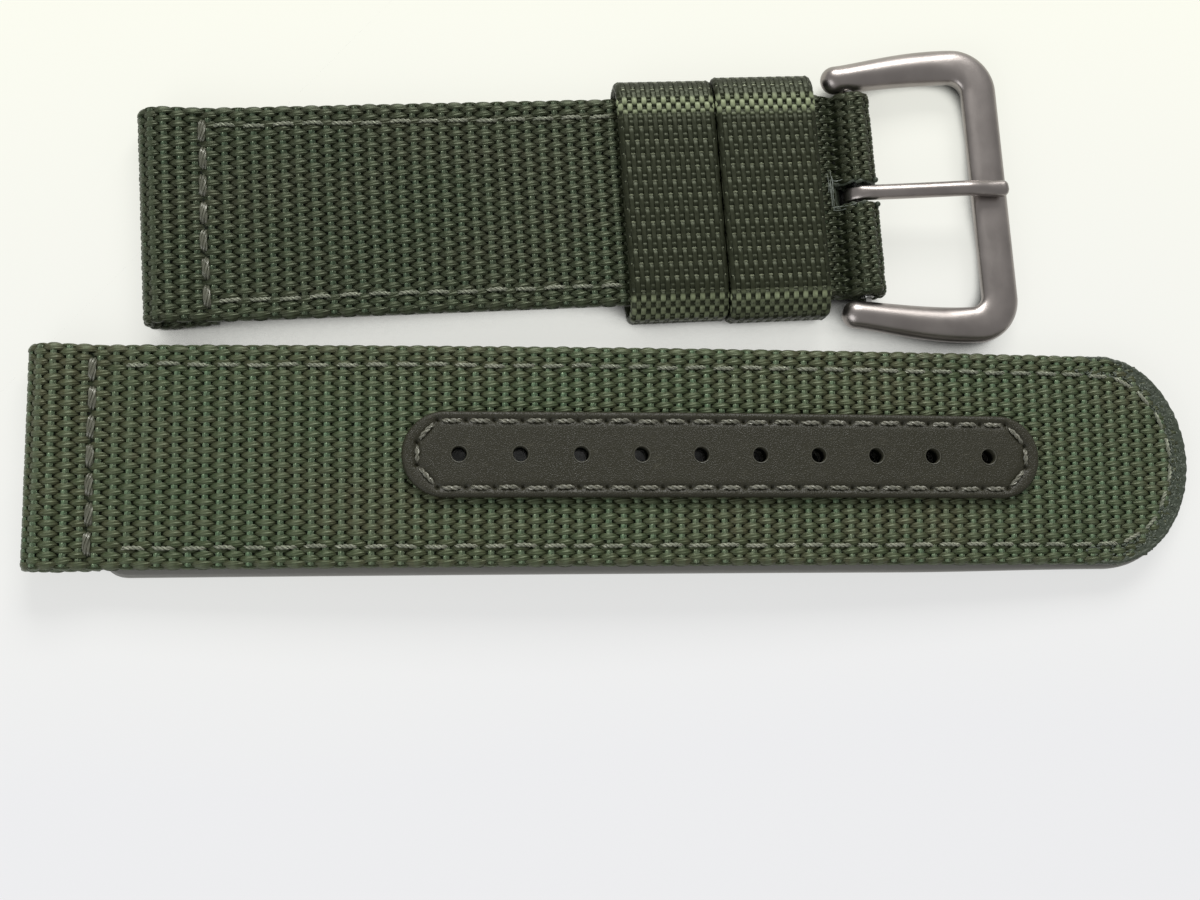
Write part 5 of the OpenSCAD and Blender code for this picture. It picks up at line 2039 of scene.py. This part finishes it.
        parts = MeshParts()
        parts.grid(np.stack(rows), around=True, capped=True)
        piece = parts.piece("buckle_tongue_wire", Finish.STEEL, self.placed)
        dress(piece, "tongue", ["buckle_tongue"])

    def coil(self) -> None:
        """Build the coil spring inside the barrel, in two pieces that meet at its middle."""
        t = np.linspace(0, 1, self.coil_turns * 16)
        angle = 2 * math.pi * self.coil_turns * t
        for side, hand in (("left", 1), ("right", -1)):
            line = np.stack([self.bar_x + self.coil_r * np.cos(angle), hand * self.coil_reach * t,
                             self.bar_z + hand * self.coil_r * np.sin(angle)], 1)
            parts = MeshParts()
            tube(parts, line, self.coil_wire, 6)
            piece = parts.piece(f"spring_bar_coil_{side}", Finish.BRIGHT_STEEL)
            dress(piece, "buckle_half", ["spring_bar_spring"])
            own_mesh(piece)


@dataclass
class Studio:
    """The camera at the photograph's angle, the floor and the lights.

    The eye is in millimetres and the camera's turns in degrees; the lamps, their middle and the
    floor are in metres.
    """

    lens: float = 45.0
    eye: tuple[float, float, float] = (23.026, -46.074, 148.806)
    turn_x: float = -7.849
    turn_y: float = 7.262
    turn_z: float = 2.953
    middle: tuple[float, float, float] = (0.045, -0.01, 0.0)
    floor_half: float = 3.0
    cool: Colour = (0.87, 0.873, 0.89, 1.0)
    warm: Colour = (0.985, 0.99, 0.888, 1.0)
    glow: float = 0.70
    bounce: float = 0.26
    room: Colour = (1.0, 0.99, 0.98, 1.0)
    room_light: float = 0.4

    def build(self) -> None:
        """Set the stage."""
        self.camera()
        self.floor()
        self.lights()
        bpy.context.scene.view_settings.view_transform = "Standard"

    def camera(self) -> None:
        """Place the camera."""
        data = bpy.data.cameras.new("camera")
        data.lens, data.sensor_width = self.lens, 36.0
        data.clip_start, data.clip_end = 0.005, 20.0
        camera = bpy.data.objects.new("camera", data)
        turn = (Matrix.Rotation(math.radians(self.turn_z), 3, "Z")
                @ Matrix.Rotation(math.radians(self.turn_y), 3, "Y")
                @ Matrix.Rotation(math.radians(self.turn_x), 3, "X"))
        eye = Vector(self.eye) * METRES
        camera.matrix_world = Matrix.Translation(eye) @ turn.transposed().to_4x4()
        bpy.context.scene.collection.objects.link(camera)
        bpy.context.scene.camera = camera

    def floor(self) -> None:
        """Lay the pale floor, darkened near the strap by painted shadow."""
        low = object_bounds()[0][2]
        size = self.floor_half
        corners = [(x * size, y * size, low) for x, y in ((-1, -1), (1, -1), (1, 1), (-1, 1))]
        mesh = bpy.data.meshes.new("floor")
        mesh.from_pydata(corners, [], [(0, 1, 2, 3)])
        floor = bpy.data.objects.new("floor", mesh)
        bpy.context.scene.collection.objects.link(floor)
        shade = Shade("pale_floor", Roughness=0.9, Specular_IOR_Level=0.1, Emission_Strength=1.0)
        path = shade.node("ShaderNodeLightPath")
        seen = (path["Is Camera Ray"] + path["Is Glossy Ray"] + path["Is Transmission Ray"]).clamped()
        place = shade.node("ShaderNodeSeparateXYZ", None, {"Vector": shade.place()})
        far = shade.spread(place["Y"] + 20 * shade.noise(shade.place(), 0.012, 1), -45.0, 35.0)
        tone = shade.blend(far, self.cool, self.warm)
        # Ambient occlusion cuts the floor's glow and darkens the colour the camera sees near the strap: a
        # painted contact shadow, deepest under the strap and in its holes.
        open_sky = shade.node("ShaderNodeAmbientOcclusion", {"samples": 24}, {"Distance": 0.007})["AO"]
        lit = shade.spread(open_sky, 0.22, 0.42)
        glow = shade.blend(self.glow * lit * seen, BLACK, tone)
        plain = shade.blend(self.bounce * shade.spread(open_sky, 0.05, 0.36), BLACK, tone)
        shade.feed("Base Color", shade.blend(seen, tone, plain))
        shade.feed("Emission Color", glow)
        mesh.materials.append(shade.material)
        floor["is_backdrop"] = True

    def lamp(self, name: str, place: Sequence[float], size: tuple[float, float], watts: float,
             colour: Sequence[float]) -> None:
        """Hang a soft rectangular lamp that faces the middle of the strap.

        Args:
            name: Its name.
            place: Where it hangs, in metres.
            size: Its width and height, in metres.
            watts: Its power.
            colour: Its colour.
        """
        data = bpy.data.lights.new(name, "AREA")
        data.shape, data.size, data.size_y = "RECTANGLE", size[0], size[1]
        data.energy, data.color = watts, colour
        lamp = bpy.data.objects.new(name, data)
        lamp.location = place
        way = Vector(self.middle) - Vector(place)
        lamp.rotation_euler = way.to_track_quat("-Z", "Y").to_euler()
        bpy.context.scene.collection.objects.link(lamp)

    def lights(self) -> None:
        """Hang the lamps and set the room's light."""
        self.lamp("window", (0.2, 0.8, 0.62), (0.7, 0.42), 10.5, (1.0, 0.995, 0.97))
        self.lamp("fill", (-0.45, -0.42, 0.42), (0.6, 0.5), 1.9, (0.96, 0.98, 1.0))
        world = bpy.data.worlds.new("room")
        world.use_nodes = True
        sky = world.node_tree.nodes["Background"]
        sky.inputs["Color"].default_value = self.room
        sky.inputs["Strength"].default_value = self.room_light
        bpy.context.scene.world = world


def main() -> None:
    """Build every piece in order."""
    logging.basicConfig(level=logging.INFO, format="%(name)s: %(message)s")
    Studio().build()
    BuckleHalf().build()
    HoleHalf().build()
    free = Keeper(KeeperKind.FREE)
    free.build()
    free.close()
    Keeper(KeeperKind.FIXED, half_w=13.05).build()
    Buckle().build()


if __name__ == "__main__":
    main()
